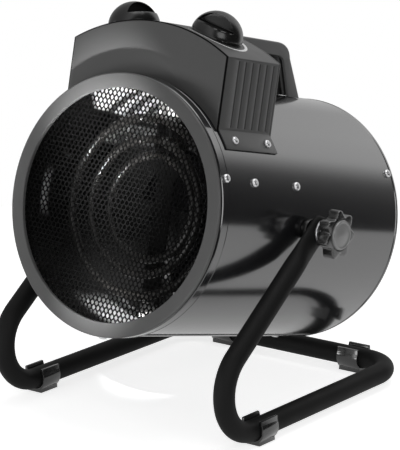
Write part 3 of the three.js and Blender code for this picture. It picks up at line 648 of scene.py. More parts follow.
    def smooth(self, piece: bpy.types.Object, angle: float = CREASE) -> bpy.types.Object:
        """Shades a piece smooth up to an angle.

        Args:
            piece: The piece.
            angle: The angle in degrees.

        Returns:
            The piece.
        """
        self.take(piece)
        bpy.ops.object.shade_smooth_by_angle(angle=math.radians(angle))
        return piece

    def copy(self, piece: bpy.types.Object, name: str) -> bpy.types.Object:
        """A copy with a mesh of its own.

        Args:
            piece: The piece to copy.
            name: What the copy is called.

        Returns:
            The copy.
        """
        twin = piece.copy()
        twin.data = piece.data.copy()
        twin.name = name
        bpy.context.scene.collection.objects.link(twin)
        return twin


class TubeBender:
    """Draws a tube as a bender makes it: straight runs and spins, from one end on."""

    def __init__(
        self, bench: Bench, name: str, radius: float, facets: int, at: Vector, along: Vector,
    ) -> None:
        """Starts the tube with its end ring.

        Args:
            bench: The bench to work on.
            name: What the tube is called.
            radius: Its outer radius.
            facets: Facets round it.
            at: Where its centreline starts.
            along: The way it leaves.
        """
        bench.clear()
        bpy.ops.mesh.primitive_circle_add(vertices=facets, radius=radius, fill_type="NGON")
        self.bench = bench
        self.piece = bpy.context.object
        self.piece.name = name
        turn = along.to_track_quat("Z", "X").to_matrix().to_4x4()
        bench.turn(self.piece, Matrix.Translation(at) @ turn)
        bench.edit()

    def straight(self, move: Vector) -> None:
        """Runs straight on."""
        bpy.ops.mesh.extrude_region_move(TRANSFORM_OT_translate={"value": move})

    def bend(self, centre: Vector, axis: Vector, degrees: float, steps: int) -> None:
        """Bends about an axis through a centre, which spin turns round the other way."""
        bpy.ops.mesh.spin(steps=steps, angle=-math.radians(degrees), center=centre, axis=axis)

    def finish(self) -> bpy.types.Object:
        """Closes the work on the tube and gives it back."""
        return self.bench.seal(self.piece)


# ------------------------------------------------------------------ sub-assemblies
@dataclass
class Workshop:
    """What every sub-assembly works with: bench, paint and the two frames."""

    bench: Bench
    paint: PaintShop
    drum_frame: Matrix
    stand_frame: Matrix

    def hand_over(
        self, piece: bpy.types.Object, finish: Finish, body: str, *nodes: str, frame: Matrix | None = None,
    ) -> None:
        """Brings a finished piece into the model: place, finish and what it rides on.

        Args:
            piece: The piece, drawn in millimetres.
            finish: Its finish.
            body: The moving body that it rides on.
            nodes: The model's nodes that it stands for.
            frame: The frame it was drawn in, the drum's if left out.
        """
        self.bench.turn(piece, (frame or self.drum_frame) @ Matrix.Scale(MM, 4))
        piece.data.materials.clear()
        piece.data.materials.append(self.paint.material(finish))
        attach(piece, body)
        if nodes:
            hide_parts(*nodes)
        LOG.info("%s: %d faces on %s", piece.name, len(piece.data.polygons), body)

    def dress(self, nodes: dict[str, bpy.types.Object], finish: Finish, *names: str) -> None:
        """Gives a finish to nodes whose own shape is kept.

        Args:
            nodes: The model's nodes by name.
            finish: The finish.
            names: The nodes that get it.
        """
        for name in names:
            materials = nodes[name].data.materials
            materials.clear()
            materials.append(self.paint.material(finish))
            LOG.info("%s: kept, %s", name, finish.name)


@dataclass
class Assembly:
    """A sub-assembly and the workshop that makes it."""

    shop: Workshop

    @property
    def bench(self) -> Bench:
        """The workshop's bench."""
        return self.shop.bench


@dataclass
class Drum(Assembly):
    """The rolled drum with its hemmed rear edge and its lap seam."""

    radius: float = 108.5
    wall: float = 1.0
    front: float = -120.3
    rear: float = 143.4
    hem: float = 3.6
    hem_groove: float = 0.4
    facets: int = 192
    seam_angle: float = 161.0  # degrees from the top
    seam_width: float = 5.0
    seam_lift: float = 0.7
    seam_sink: float = 0.2
    seam_front: float = -111.3
    seam_steps: int = 6
    crease: float = 25.0

    def build(self) -> None:
        """Makes the drum."""
        bench, outer, rear = self.bench, self.radius, self.rear
        inner, groove, hem_start = outer - self.wall, outer - self.hem_groove, rear - self.hem
        shell = bench.lathe("drum", [
            (inner, self.front), (outer, self.front), (outer, hem_start - 0.8),
            (groove, hem_start - 0.5), (groove, hem_start), (outer + 0.2, hem_start + 0.5),
            (outer + 0.35, rear - 1.6), (outer, rear - 0.4), (outer - 0.6, rear),
            (inner - 0.9, rear), (inner - 0.9, rear - 6.4), (inner, rear - 7),
        ], self.facets)
        start = 90 - self.seam_angle
        end = start - math.degrees(self.seam_width / outer)
        lap = arc(outer + self.seam_lift, start, end, self.seam_steps)
        lap += arc(outer - self.seam_sink, end, start, self.seam_steps)
        seam = bench.slab("seam", lap, self.seam_front, hem_start - 1.5)
        bench.gather(shell, seam)
        self.shop.hand_over(bench.smooth(shell, self.crease), DRUM_ENAMEL, "heater", "drum_shell")


@dataclass
class Outlet(Assembly):
    """The front ring, the net behind it, the bright liner and the drum's bare inside."""

    radius: float = 110.0
    inner: float = 97.6
    front: float = -127.6
    sheet: float = 1.0
    face: float = 1.6
    lip: float = 3.4
    ring_depth: float = 4.4
    roll: float = 1.6
    roll_steps: int = 6
    skirt: float = 109.7
    skirt_end: float = -112.8
    skirt_bead: float = 0.25
    skirt_crease: float = 20.0
    bore: float = 108.8
    throat: float = 106.9
    seat: float = -120.6
    facets: int = 192
    net_front: float = -123.6
    net_thick: float = 0.9
    net_rim: float = 106.4
    net_clamp: float = 98.6
    net_facets: int = 144
    pitch: float = 4.57
    web: float = 1.05
    net_turn: float = -2.6  # degrees the net is turned from level
    liner: float = 104.0
    liner_wall: float = 0.8
    liner_front: float = -122.4
    liner_rear: float = -11.0
    liner_facets: int = 128
    bare_inner: float = 107.3  # the drum's unpainted inner face
    bare_outer: float = 107.6
    bare_front: float = -14.0
    bare_rear: float = 62.0

    def build(self) -> None:
        """Makes the ring, its skirt, the net and the liner."""
        self._ring()
        self._skirt()
        self._net()
        self._liner()

    def _ring(self) -> None:
        """Makes the flat front ring with its rolled edge."""
        inner, throat, front, roll = self.inner, self.throat, self.front, self.roll
        edge = arc(roll, -90, 0, self.roll_steps, (self.radius - roll, front + roll))
        step, back = throat + self.sheet, front + self.ring_depth
        ring = self.bench.lathe("front_ring", [
            (inner, front + self.lip), (inner, front + 0.5), (inner + 0.4, front), *edge,
            (self.radius, front + 2.0), (step, front + 2.6), (step, back), (throat, back),
            (throat, front + self.face), (inner + self.sheet, front + self.face),
            (inner + self.sheet, front + self.lip),
        ], self.facets)
        self.shop.hand_over(self.bench.smooth(ring), BEZEL_ENAMEL, "heater", "front_bezel")

    def _skirt(self) -> None:
        """Makes the gloss skirt behind the ring, with a bead at its edge."""
        throat, skirt, front, end = self.throat, self.skirt, self.front, self.skirt_end
        bead = skirt + self.skirt_bead
        piece = self.bench.lathe("ring_skirt", [
            (throat, front + 4.5), (throat + 1.2, front + 4.5), (skirt - 0.6, front + 4.9),
            (skirt, front + 5.5), (skirt, end - 1.2), (bead, end - 0.8), (bead, end - 0.3), (skirt, end),
            (self.bore, end), (self.bore, self.seat), (throat, self.seat),
        ], self.facets)
        self.shop.hand_over(self.bench.smooth(piece, self.skirt_crease), DRUM_ENAMEL, "heater")

    def _net(self) -> None:
        """Makes the flat hexagonal net inside its plain rim."""
        bench, pitch = self.bench, self.pitch
        net = self._cell()
        row = pitch * math.sqrt(3) / 2
        across = 2 * math.ceil(self.net_rim / pitch) + 1
        up = math.ceil(self.net_rim / (2 * row)) * 2 + 1
        shifted = bench.turn(bench.copy(net, "second"), Matrix.Translation((pitch / 2, row, 0)))
        bench.gather(net, shifted)
        for count, step in ((across, (pitch, 0, 0)), (up, (0, 2 * row, 0))):
            bench.apply(
                net, "ARRAY", use_relative_offset=False, use_constant_offset=True, count=count,
                constant_offset_displace=step, use_merge_vertices=True, merge_threshold=SEAM_WELD,
            )
        bench.turn(net, Matrix.Translation((-(across - 1) / 2 * pitch, -(up - 1) * row, 0)))
        self._trim(net, (self.net_clamp + self.net_rim) / 2)
        bench.apply(net, "SOLIDIFY", thickness=self.net_thick, offset=0.0)
        upright = about("X", 90) @ about("Z", self.net_turn)
        bench.turn(net, Matrix.Translation((0, self.net_front + self.net_thick / 2, 0)) @ upright)
        back = self.net_front + self.net_thick
        rim = bench.lathe("net_rim", [
            (self.net_clamp, self.net_front), (self.net_rim, self.net_front),
            (self.net_rim, back), (self.net_clamp, back),
        ], self.net_facets)
        self.shop.hand_over(bench.gather(net, rim), GUARD_ENAMEL, "heater", "front_guard")

    def _cell(self) -> bpy.types.Object:
        """Makes one flat cell of the net, half a web wide all round."""
        self.bench.clear()
        corner = self.pitch / math.sqrt(3)
        bpy.ops.mesh.primitive_circle_add(vertices=6, radius=corner, fill_type="NGON")
        cell = bpy.context.object
        cell.name = "front_net"
        self.bench.edit()
        bpy.ops.mesh.inset(thickness=self.web / 2)
        bpy.ops.mesh.delete(type="FACE")
        return self.bench.turn(cell, about("Z", 30))

    def _trim(self, net: bpy.types.Object, reach: float) -> None:
        """Deletes the net's faces that lie past a radius.

        Args:
            net: The flat net.
            reach: The radius.
        """
        self.bench.edit("DESELECT")
        mesh = bmesh.from_edit_mesh(net.data)
        for face in mesh.faces:
            face.select_set(face.calc_center_median().length > reach)
        bmesh.update_edit_mesh(net.data)
        bpy.ops.mesh.delete(type="FACE")
        bpy.ops.object.mode_set(mode="OBJECT")

    def _liner(self) -> None:
        """Makes the bright liner, with its turned-out front edge, and the drum's bare inside."""
        inner, lip_back = self.liner - self.liner_wall, self.liner_front + self.liner_wall
        liner = self.bench.lathe("bright_liner", [
            (inner, self.liner_front), (self.net_rim, self.liner_front), (self.net_rim, lip_back),
            (self.liner, lip_back), (self.liner, self.liner_rear), (inner, self.liner_rear),
        ], self.liner_facets)
        # The liner's finish paints light and shade on it by place.
        self.shop.hand_over(self.bench.smooth(liner), LINER_STEEL, "heater", "inner_shield")
        # The drum's bare inside carries the liner's painted light and shade further back.
        bare = self.bench.lathe("drum_inside", [
            (self.bare_inner, self.bare_front), (self.bare_outer, self.bare_front),
            (self.bare_outer, self.bare_rear), (self.bare_inner, self.bare_rear),
        ], self.liner_facets)
        self.shop.hand_over(self.bench.smooth(bare), LINER_STEEL, "heater")


@dataclass
class HeatingRods(Assembly):
    """Three sheathed rods, each a hoop open at the top with both ends turned back."""

    tube: float = 3.6
    facets: int = 20
    turn_radius: float = 9.0
    leg_end: float = -42.0
    hoop_steps: int = 56
    elbow_steps: int = 10
    # Each hoop's radius, its y, and how far from the middle its legs stand.
    hoops: dict[str, Point] = field(default_factory=lambda: {
        "element_outer": (75.0, -88.0, 17.0),
        "element_middle": (57.0, -84.0, 16.0),
        "element_inner": (44.0, -75.0, 15.0),
    })

    def build(self) -> None:
        """Makes the three rods."""
        back = Vector((0, 1, 0))
        for node, (radius, y, leg) in self.hoops.items():
            name = node.replace("element", "rod")
            bottom = Vector((0, y, -radius))
            bender = TubeBender(self.bench, name, self.tube, self.facets, bottom, Vector((1, 0, 0)))
            sweep = 180 - math.degrees(math.asin(leg / radius))
            bender.bend(Vector((0, y, 0)), -back, sweep, self.hoop_steps)
            angle = math.radians(sweep)
            tip = Vector((radius * math.sin(angle), y, -radius * math.cos(angle)))
            along = Vector((math.cos(angle), 0, math.sin(angle)))
            bender.bend(tip + back * self.turn_radius, along.cross(back), 90, self.elbow_steps)
            bender.straight(back * (self.leg_end - y - self.turn_radius))
            rod = self.bench.mirror(bender.finish())
            self.shop.hand_over(self.bench.smooth(rod, BAR_CREASE), ROD_SHEATH, "heater", node)


@dataclass
class ControlBox(Assembly):
    """The arched box on the drum: folded cover, two end plates and a black strip of painted shade in the
    front seam.
    """

    front: float = -107.0
    rear: float = -31.0
    half: float = 81.2
    arch: float = 162.0
    arch_centre: float = -6.3
    arch_steps: int = 48
    wall: float = 2.5
    cover_round: float = 0.35
    plate: float = 2.0
    plate_round: float = 0.3
    # The black strip round the front plate is painted shade standing for the seam's shadow.
    seam_shade: float = 0.9
    seam_shade_play: float = 0.05
    seam_shade_sink: float = 0.1
    seam_shade_round: float = 0.25
    flange_angle: float = 57.0
    flange_thick: float = 1.3
    flange_steps: int = 4
    flange_under_steps: int = 6
    seat: float = 108.8
    seat_steps: int = 40
    groove_first: float = -89.1
    groove_pitch: float = 9.8
    groove_count: int = 6
    groove_width: float = 1.7
    groove_depth: float = 1.2
    groove_top: float = 131.5
    groove_tool: float = 4.0
    gland_x: float = -52.0
    gland_z: float = 121.0
    gland_hole: float = 8.3
    gland_facets: int = 48

    def arch_height(self, x: float) -> float:
        """How high the arch stands at x."""
        return self.arch_centre + math.sqrt(self.arch**2 - x**2)

    def build(self) -> None:
        """Makes the cover, the black strip of painted shade in the seam round the front plate and the two end
        plates.
        """
        self._cover()
        self._seam_shade_strip()
        self._plate("box_front_plate", "control_box_front", self.front, self.seam_shade + self.seam_shade_play)
        place = (self.gland_x, self.rear, self.gland_z)
        hole = self.bench.bar(self.gland_hole, 6 * self.plate, place, self.gland_facets)
        self._plate("box_rear_plate", "control_box_rear", self.rear - self.plate, 0.0, hole)

    def _turn(self, x: float, radius: float) -> float:
        """The angle in degrees at which a circle of that radius reaches x, from the +x axis."""
        return math.degrees(math.acos(x / radius))

    def _cover(self) -> None:
        """Makes the folded cover with its flanges and its six grooves a side."""
        bench, outer, inner_half = self.bench, self.seat + self.flange_thick, self.half - self.wall
        centre = (0.0, self.arch_centre)
        tip = 90 - self.flange_angle
        a_out = self._turn(self.half, outer)
        a_arch = self._turn(self.half, self.arch)
        a_in = self._turn(inner_half, self.seat)
        a_roof = self._turn(inner_half, self.arch - self.wall)
        outline = arc(outer, tip, a_out, self.flange_steps)
        outline += arc(self.arch, a_arch, 180 - a_arch, self.arch_steps, centre)
        outline += arc(outer, 180 - a_out, 180 - tip, self.flange_steps)
        outline += arc(self.seat, 180 - tip, 180 - a_in, self.flange_under_steps)
        outline += arc(self.arch - self.wall, 180 - a_roof, a_roof, self.arch_steps, centre)
        outline += arc(self.seat, a_in, tip, self.flange_under_steps)
        front, rear = self.front + self.plate + GAP, self.rear - self.plate - GAP
        cover = bench.slab("box_cover", outline, front, rear)
        bench.cut(cover, self._groove_cutter(outer))
        bench.soften(cover, self.cover_round)
        self.shop.hand_over(bench.smooth(cover), BOX_ENAMEL, "heater", "control_box_cover")

    def _groove_cutter(self, flange: float) -> bpy.types.Object:
        """Blocks that cut the grooves of both sides, down to just above the flange.

        Args:
            flange: The radius of the flange's outer face.

        Returns:
            All of them as one tool.
        """
        low = math.sqrt(flange**2 - (self.half - self.groove_depth) ** 2) + 1
        size = (self.groove_tool, self.groove_width, self.groove_top - low)
        x, z = self.half + self.groove_tool / 2 - self.groove_depth, (self.groove_top + low) / 2
        blocks = []
        for k in range(self.groove_count):
            for side in (-1, 1):
                place = (side * x, self.groove_first + k * self.groove_pitch, z)
                blocks.append(self.bench.block("groove", size, place))
        return self.bench.gather(*blocks)

    def _outline(self, inset: float, seat: float) -> list[Point]:
        """An end plate's outline: straight sides, an arched top and a bottom that fits the drum.

        Args:
            inset: How far its sides and top are drawn in.
            seat: The radius of its bottom.

        Returns:
            The outline in x and z.
        """
        half, arch = self.half - inset, self.arch - inset
        a_arch = self._turn(half, arch)
        a_seat = self._turn(half, seat)
        outline = arc(arch, a_arch, 180 - a_arch, self.arch_steps, (0.0, self.arch_centre))
        return outline + arc(seat, 180 - a_seat, a_seat, self.seat_steps)

    def _seam_shade_strip(self) -> None:
        """Makes a black strip of painted shade, a dark line round the front plate where the seam's shadow
        falls.
        """
        bench, back = self.bench, self.front + self.plate
        seam_shade = bench.slab(
            "box_front_seam_shade", self._outline(0.0, self.seat), self.front + self.seam_shade_sink, back,
        )
        inside = self._outline(self.seam_shade, self.seat - 4)
        bench.cut(seam_shade, bench.slab("inside", inside, self.front - 1, back + 1))
        bench.soften(seam_shade, self.seam_shade_round)
        # painted shade: a black strip where the seam's shadow falls round the front plate
        self.shop.hand_over(bench.smooth(seam_shade), GUARD_ENAMEL, "heater")

    def _plate(
        self, name: str, node: str, front: float, inset: float, *tools: bpy.types.Object,
    ) -> None:
        """Makes an end plate.

        Args:
            name: What it is called.
            node: The node that it stands for.
            front: Where its front face is.
            inset: How far its sides and top are drawn in.
            tools: What is cut out of it.
        """
        plate = self.bench.slab(name, self._outline(inset, self.seat), front, front + self.plate)
        self.bench.cut(plate, *tools)
        self.bench.soften(plate, self.plate_round)
        self.shop.hand_over(self.bench.smooth(plate), BOX_ENAMEL, "heater", node)


@dataclass
class Dials(Assembly):
    """The two dial knobs and the printed ring that swells round the right one."""

    box: ControlBox
    x: float = 44.0
    y: float = -75.2
    radius: float = 22.3
    height: float = 21.2
    foot: float = 0.4
    dome_steps: int = 18
    facets: int = 96
    edge_round: float = 0.7
    recess_wall: float = 2.0
    recess_reach: float = 19.4
    recess_round: float = 1.6
    recess_steps: int = 40
    ledge: float = 8.6
    turns: dict[str, float] = field(default_factory=lambda: {"power": 82.0, "thermostat": 15.0})
    ring_radius: float = 26.2
    ring_start: float = -122.0
    ring_end: float = 72.0
    ring_thin: float = 0.5
    ring_thick: float = 3.4
    ring_swell: float = 1.6  # how late the ring grows thick
    ring_steps: int = 72
    ink: float = 0.1
    ink_lift: float = 0.05

    def station(self, side: int) -> Matrix:
        """Where a knob stands: on the arch, square to it.

        Args:
            side: -1 for the left knob, 1 for the right.

        Returns:
            Its frame in the drum's.
        """
        lean = side * math.asin(self.x / self.box.arch)
        place = Vector((side * self.x, self.y, self.box.arch_height(self.x)))
        return Matrix.Translation(place) @ Matrix.Rotation(lean, 4, "Y")

    def build(self) -> None:
        """Makes both knobs and the printed ring."""
        for side, role, node in ((-1, "power", "power_knob"), (1, "thermostat", "thermostat_knob")):
            knob = self._knob(f"{role}_dial_knob")
            self.bench.turn(knob, self.station(side) @ about("Z", self.turns[role]))
            self.shop.hand_over(knob, KNOB_PLASTIC, f"{role}_dial", node)
        self._print()

    def _knob(self, name: str) -> bpy.types.Object:
        """A full dome with a half-moon finger recess in its front.

        Args:
            name: What the knob is called.

        Returns:
            The knob, standing on its station's origin.
        """
        bench = self.bench
        dome = [(0, self.foot), (self.radius - 0.3, self.foot)]
        for k in range(1, self.dome_steps):
            rise = math.radians(90 * k / self.dome_steps)
            dome.append((self.radius * math.cos(rise), self.height * math.sin(rise)))
        knob = bench.lathe(name, [*dome, (0, self.height)], self.facets, closed=False)
        bench.turn(knob, about("X", 90))
        start = math.degrees(math.asin(self.ledge / self.recess_reach))
        moon = arc(self.recess_reach, start, 180 - start, self.recess_steps)
        recess = bench.slab("recess", moon, -self.radius - 3, -self.recess_wall)
        bench.soften(recess, self.recess_round, 4)
        bench.cut(knob, recess)
        bench.soften(knob, self.edge_round, 3)
        return bench.smooth(knob, SHARP)

    def _ring_edge(self, sign: int) -> list[Point]:
        """One edge of the printed ring, laid on the arch.

        Args:
            sign: -1 for its inner edge, 1 for its outer.

        Returns:
            Its points.
        """
        station = self.station(1)
        edge = []
        for k in range(self.ring_steps + 1):
            share = k / self.ring_steps
            width = self.ring_thin + (self.ring_thick - self.ring_thin) * share**self.ring_swell
            degrees = self.ring_start + (self.ring_end - self.ring_start) * share
            flat = station @ Vector((*polar(self.ring_radius + sign * width / 2, degrees), 0))
            edge.append((flat.x, flat.y, self.box.arch_height(flat.x) + self.ink_lift))
        return edge

    def _print(self) -> None:
        """Lays the swelling white ring on the arch round the thermostat knob."""
        bench = self.bench
        outer = bench.chain("outer", self._ring_edge(1), closed=False)
        ring = bench.chain("thermostat_scale", self._ring_edge(-1), closed=False)
        bench.gather(ring, outer)
        bench.edit()
        bpy.ops.mesh.bridge_edge_loops()
        bench.seal(ring)
        bench.apply(ring, "SOLIDIFY", thickness=self.ink, offset=1.0)
        self.shop.hand_over(ring, PRINT_WHITE, "heater")


@dataclass
class Handle(Assembly):
    """The carrying handle: a channel with two ribs, its rear leg raked to the drum."""

    width: float = 29.0
    top: float = 154.5
    bar: float = 12.0
    wall: float = 3.0
    edge_round: float = 1.6
    start: float = -30.7
    foot: float = 104.0  # how far down the leg is drawn, before the drum cuts it
    seat: float = 108.9
    seat_facets: int = 192
    rib_x: float = 6.0
    rib_half: float = 1.0
    rib_back: float = 3.0  # how far the ribs stand back at the underside

    def build(self) -> None:
        """Makes the handle."""
        bench, half, side_wall = self.bench, self.width / 2, self.wall
        strap = bench.side_slab("handle", self._outline(0.0), -half, half)
        bench.soften(strap, self.edge_round, 4)
        channel = bench.side_slab("channel", self._outline(self.wall), -half + side_wall, half - side_wall)
        solid_end = bench.block("root", (60, 18, 60), (0, self.start + 8, 140))
        bench.cut(channel, solid_end)
        bench.cut(strap, channel)
        rib_outline = self._outline(self.wall - 0.6)
        for x in (-self.rib_x, self.rib_x):
            rib = bench.side_slab("rib", rib_outline, x - self.rib_half, x + self.rib_half)
            core = bench.side_slab("core", self._core(), x - 3 * self.rib_half, x + 3 * self.rib_half)
            bench.combine(rib, [core], "INTERSECT")
            bench.weld(strap, rib)
        bench.cut(strap, bench.bar(self.seat, 400, (0, 0, 0), self.seat_facets))
        self.shop.hand_over(bench.smooth(strap), HANDLE_PLASTIC, "heater", "carry_handle")

    def _outline(self, inset: float) -> list[Point]:
        """The side view in y and z.

        Args:
            inset: How far its outer edge is drawn in. With more than nought it is the channel's, which
                runs out through the underside.

        Returns:
            The outline's corners.
        """
        top, under, start, foot = self.top - inset, self.top - self.bar, self.start, self.foot
        outer_bend = curve((56, top), (74 - inset / 2, top), (77.5 - inset, 142))
        leg = (102.5 - inset, foot)
        if inset:
            return [(start - 1, top), *outer_bend, leg, (70, foot), (60, 130), (start - 1, 130)]
        inner_bend = curve((70, 136.5), (67, under), (58, under))
        return [(start, top), *outer_bend, leg, (85, foot), *inner_bend, (start, under)]

    def _core(self) -> list[Point]:
        """The strap less a margin at its underside, so that the ribs stand back."""
        top, under = self.top - 1, self.top - self.bar + self.rib_back
        start, foot = self.start + 10, self.foot
        bend = curve((56, top), (74, top), (77, 142))
        return [(start, top), *bend, (102, foot), (88, foot), (72.5, 137.5), (66, under), (start, under)]


@dataclass
class Stand(Assembly):
    """The bent tube with pressed ends, and its four push-fit feet."""

    tube: float = 9.0
    facets: int = 32
    side: float = 119.5
    pivot: float = 163.0
    slope: float = 35.7
    bend_y: float = -92.8
    bend: float = 37.5
    bend_steps: int = 36
    rear: float = 126.5
    corner: float = 32.0
    corner_steps: int = 24
    base: float = 12.5
    tail: float = 12.0  # how far the tube goes on above the pivot
    tail_nose: float = 8.0  # the rounded part of that
    nose_radius: float = 9.0
    nose_least: float = 0.12
    flat: float = 5.0
    spread: float = 1.28
    pressed: float = 16.0
    fade: float = 26.0
    pressed_steps: int = 27
    clip_wall: float = 2.6
    clip_length: float = 22.0
    clip_y: float = -82.0
    clip_x: float = 72.0
    clip_round: float = 0.45
    clip_sharp: float = 30.0
    lip_inner: float = 3.4
    lip_outer: float = 5.0
    sole_half: float = 8.0

    def build(self) -> None:
        """Makes the tube and the feet."""
        self._tube()
        for place, x, y, heading in (
            ("front_left", -self.side, self.clip_y, 0.0),
            ("front_right", self.side, self.clip_y, 0.0),
            ("rear_left", -self.clip_x, self.rear, 90.0),
            ("rear_right", self.clip_x, self.rear, 90.0),
        ):
            clip = self._clip(f"foot_{place}")
            self.bench.turn(clip, Matrix.Translation((x, y, self.base)) @ about("Z", heading))
            self._hand_over(clip, FOOT_PLASTIC, f"foot_clip_{place}")

    def _hand_over(self, piece: bpy.types.Object, finish: Finish, node: str) -> None:
        """Hands over a piece of the stand, drawn in the stand's frame."""
        self.shop.hand_over(piece, finish, "stand", node, frame=self.shop.stand_frame)

    def _tube(self) -> None:
        """Bends the right half of the tube, presses its end and mirrors it."""
        down = math.radians(self.slope)
        leg = Vector((0, -math.cos(down), -math.sin(down)))
        pivot = Vector((self.side, 0, self.pivot))
        centre = Vector((self.side, self.bend_y, self.base + self.bend))
        leg_end = centre + Vector((0, -math.sin(down), math.cos(down))) * self.bend
        length = (leg_end - pivot).dot(leg)
        start = leg_end - leg * (length + self.tail)
        bender = TubeBender(self.bench, "bent_tube", self.tube, self.facets, start, leg)
        stretch = self.tail + self.pressed + self.fade
        for _ in range(self.pressed_steps):
            bender.straight(leg * (stretch / self.pressed_steps))
        bender.straight(leg * (length + self.tail - stretch))
        bender.bend(centre, Vector((1, 0, 0)), 180 - self.slope, self.bend_steps)
        bender.straight(Vector((0, self.rear - self.corner - self.bend_y, 0)))
        corner = Vector((self.side - self.corner, self.rear - self.corner, self.base))
        bender.bend(corner, Vector((0, 0, 1)), 90, self.corner_steps)
        bender.straight(Vector((-(self.side - self.corner), 0, 0)))
        bpy.ops.mesh.delete(type="FACE")
        tube = bender.finish()
        self._press(tube, pivot, leg)
        self.bench.mirror(tube)
        self._hand_over(self.bench.smooth(tube, BAR_CREASE), STAND_COAT, "stand_tube")

    def _press(self, tube: bpy.types.Object, pivot: Vector, leg: Vector) -> None:
        """Squeezes the tube's end across and lets it spread, fading out along the leg.

        Args:
            tube: The tube.
            pivot: The pivot's place on the tube's centreline.
            leg: The way down the leg.
        """
        across = leg.cross(Vector((1, 0, 0)))
        for vertex in tube.data.vertices:
            offset = vertex.co - pivot
            s = offset.dot(leg)
            if s > self.pressed + self.fade or vertex.co.z < self.base + self.bend:
                continue
            v = offset.dot(across)
            t = min(1.0, max(0.0, (s - self.pressed) / self.fade))
            share = 1 - t * t * (3 - 2 * t)
            reach = max(0.0, -s - (self.tail - self.tail_nose))
            rounded = math.sqrt(max(self.nose_least, 1 - (reach / self.nose_radius) ** 2))
            offset += across * v * ((1 + (self.spread - 1) * share) * rounded - 1)
            offset.x *= 1 - share * (1 - self.flat / self.tube)
            vertex.co = pivot + offset

    def _clip(self, name: str) -> bpy.types.Object:
        """A C round the tube, with two turned-out lips and a flat sole.

        Args:
            name: What the clip is called.

        Returns:
            The clip, round the y axis.
        """
        bore = self.tube + GAP
        outer, lip, tip = bore + self.clip_wall, bore + self.lip_inner, bore + self.lip_outer
        outline = [polar(lip, 50), polar(tip, 43), *arc(outer, 28, -50, 16)]
        outline += [(self.sole_half, -self.base), (-self.sole_half, -self.base)]
        outline += [*arc(outer, 230, 152, 16), polar(tip, 137), polar(lip, 130)]
        outline += arc(bore, 140, 400, 48)
        clip = self.bench.slab(name, outline, -self.clip_length / 2, self.clip_length / 2)
        self.bench.soften(clip, self.clip_round, angle=self.clip_sharp)
        return self.bench.smooth(clip)


@dataclass
class TiltPivots(Assembly):
    """What clamps the drum in the stand: washers, bushes and star knobs."""

    radius: float = 21.0
    lobes: int = 7
    lobe_steps: int = 16
    dip: float = 2.6
    lobe_start: float = 133.0
    lobe_round: float = 1.5
    face: float = 144.0
    cap: float = 12.7
    cap_facets: int = 72
    neck_start: float = 126.9
    neck: float = 9.5
    neck_root: float = 11.5
    bore: float = 4.3
    bore_facets: int = 32
    ring_facets: int = 64
    ring_round: float = 0.35
    bush: Point = (9.0, 108.9, 114.2)  # radius, inner face and outer face
    washer: Point = (10.5, 124.8, 126.6)

    def build(self) -> None:
        """Makes both sides."""
        for hand, heading in (("right", 0), ("left", 180)):
            turn = about("Z", heading)
            for name, node, size, finish in (
                ("clamp_bush", "pivot_bush", self.bush, KNOB_PLASTIC),
                ("clamp_washer", "knob_washer", self.washer, ZINC),
            ):
                ring = self.bench.turn(self._ring(f"{name}_{hand}", *size), turn)
                self.shop.hand_over(self.bench.smooth(ring), finish, "heater", f"{node}_{hand}")
            wheel = self.bench.turn(self._wheel(f"clamp_knob_{hand}"), turn)
            self.shop.hand_over(wheel, CLAMP_PLASTIC, f"clamp_{hand}", f"star_knob_{hand}")
            cap = self.bench.turn(self._cap(f"clamp_cap_{hand}"), turn)
            self.shop.hand_over(cap, CAP_PLASTIC, f"clamp_{hand}")

    def _spun(self, name: str, profile: list[Point], steps: int, closed: bool = False) -> bpy.types.Object:
        """A profile of (radius, x) points spun about the x axis."""
        return self.bench.turn(self.bench.lathe(name, profile, steps, closed), about("Z", -90))

    def _ring(self, name: str, radius: float, low: float, high: float) -> bpy.types.Object:
        """A plain ring on the stud, from x = low to x = high."""
        profile = [(self.bore, low), (radius, low), (radius, high), (self.bore, high)]
        return self.bench.soften(self._spun(name, profile, self.ring_facets, closed=True), self.ring_round)

    def _wheel(self, name: str) -> bpy.types.Object:
        """A lobed wheel on a neck, with a well for its cap.

        Args:
            name: What it is called.

        Returns:
            The wheel on the right side.
        """
        bench, start, face = self.bench, self.neck_start, self.face
        outline = []
        points = self.lobes * self.lobe_steps
        for k in range(points):
            a = 2 * math.pi * k / points
            r = self.radius - self.dip + self.dip * math.cos(self.lobes * a)
            outline.append((r * math.cos(a), r * math.sin(a)))
        wheel = bench.side_slab(name, outline, self.lobe_start, face)
        bench.soften(wheel, self.lobe_round, 4)
        root, cap, bore = self.lobe_start + 1, self.cap + 1, self.bore
        neck = self._spun(
            "neck", [(0, start), (self.neck, start), (self.neck_root, root), (0, root)], self.ring_facets,
        )
        well = self._spun(
            "well", [(0, face - 2), (cap, face - 2), (cap, face + 2), (0, face + 2)], self.ring_facets,
        )
        shaft = self._spun(
            "shaft", [(0, start - 2), (bore, start - 2), (bore, face - 5), (0, face - 5)], self.bore_facets,
        )
        bench.weld(wheel, neck)
        bench.cut(wheel, well, shaft)
        return bench.smooth(wheel, SHARP)

    def _cap(self, name: str) -> bpy.types.Object:
        """A plain round cap with a raised rim round a low dome.

        Args:
            name: What it is called.

        Returns:
            The cap on the right side.
        """
        r, f = self.cap, self.face
        cap = self._spun(name, [
            (0, f - 1.9), (r, f - 1.9), (r, f + 0.9), (r - 0.5, f + 1.5), (r - 1.4, f + 1.6),
            (r - 2.0, f + 1.1), (r - 2.8, f + 1.0), (r * 0.5, f + 1.6), (0, f + 1.8),
        ], self.cap_facets)
        return self.bench.smooth(cap, SHARP)


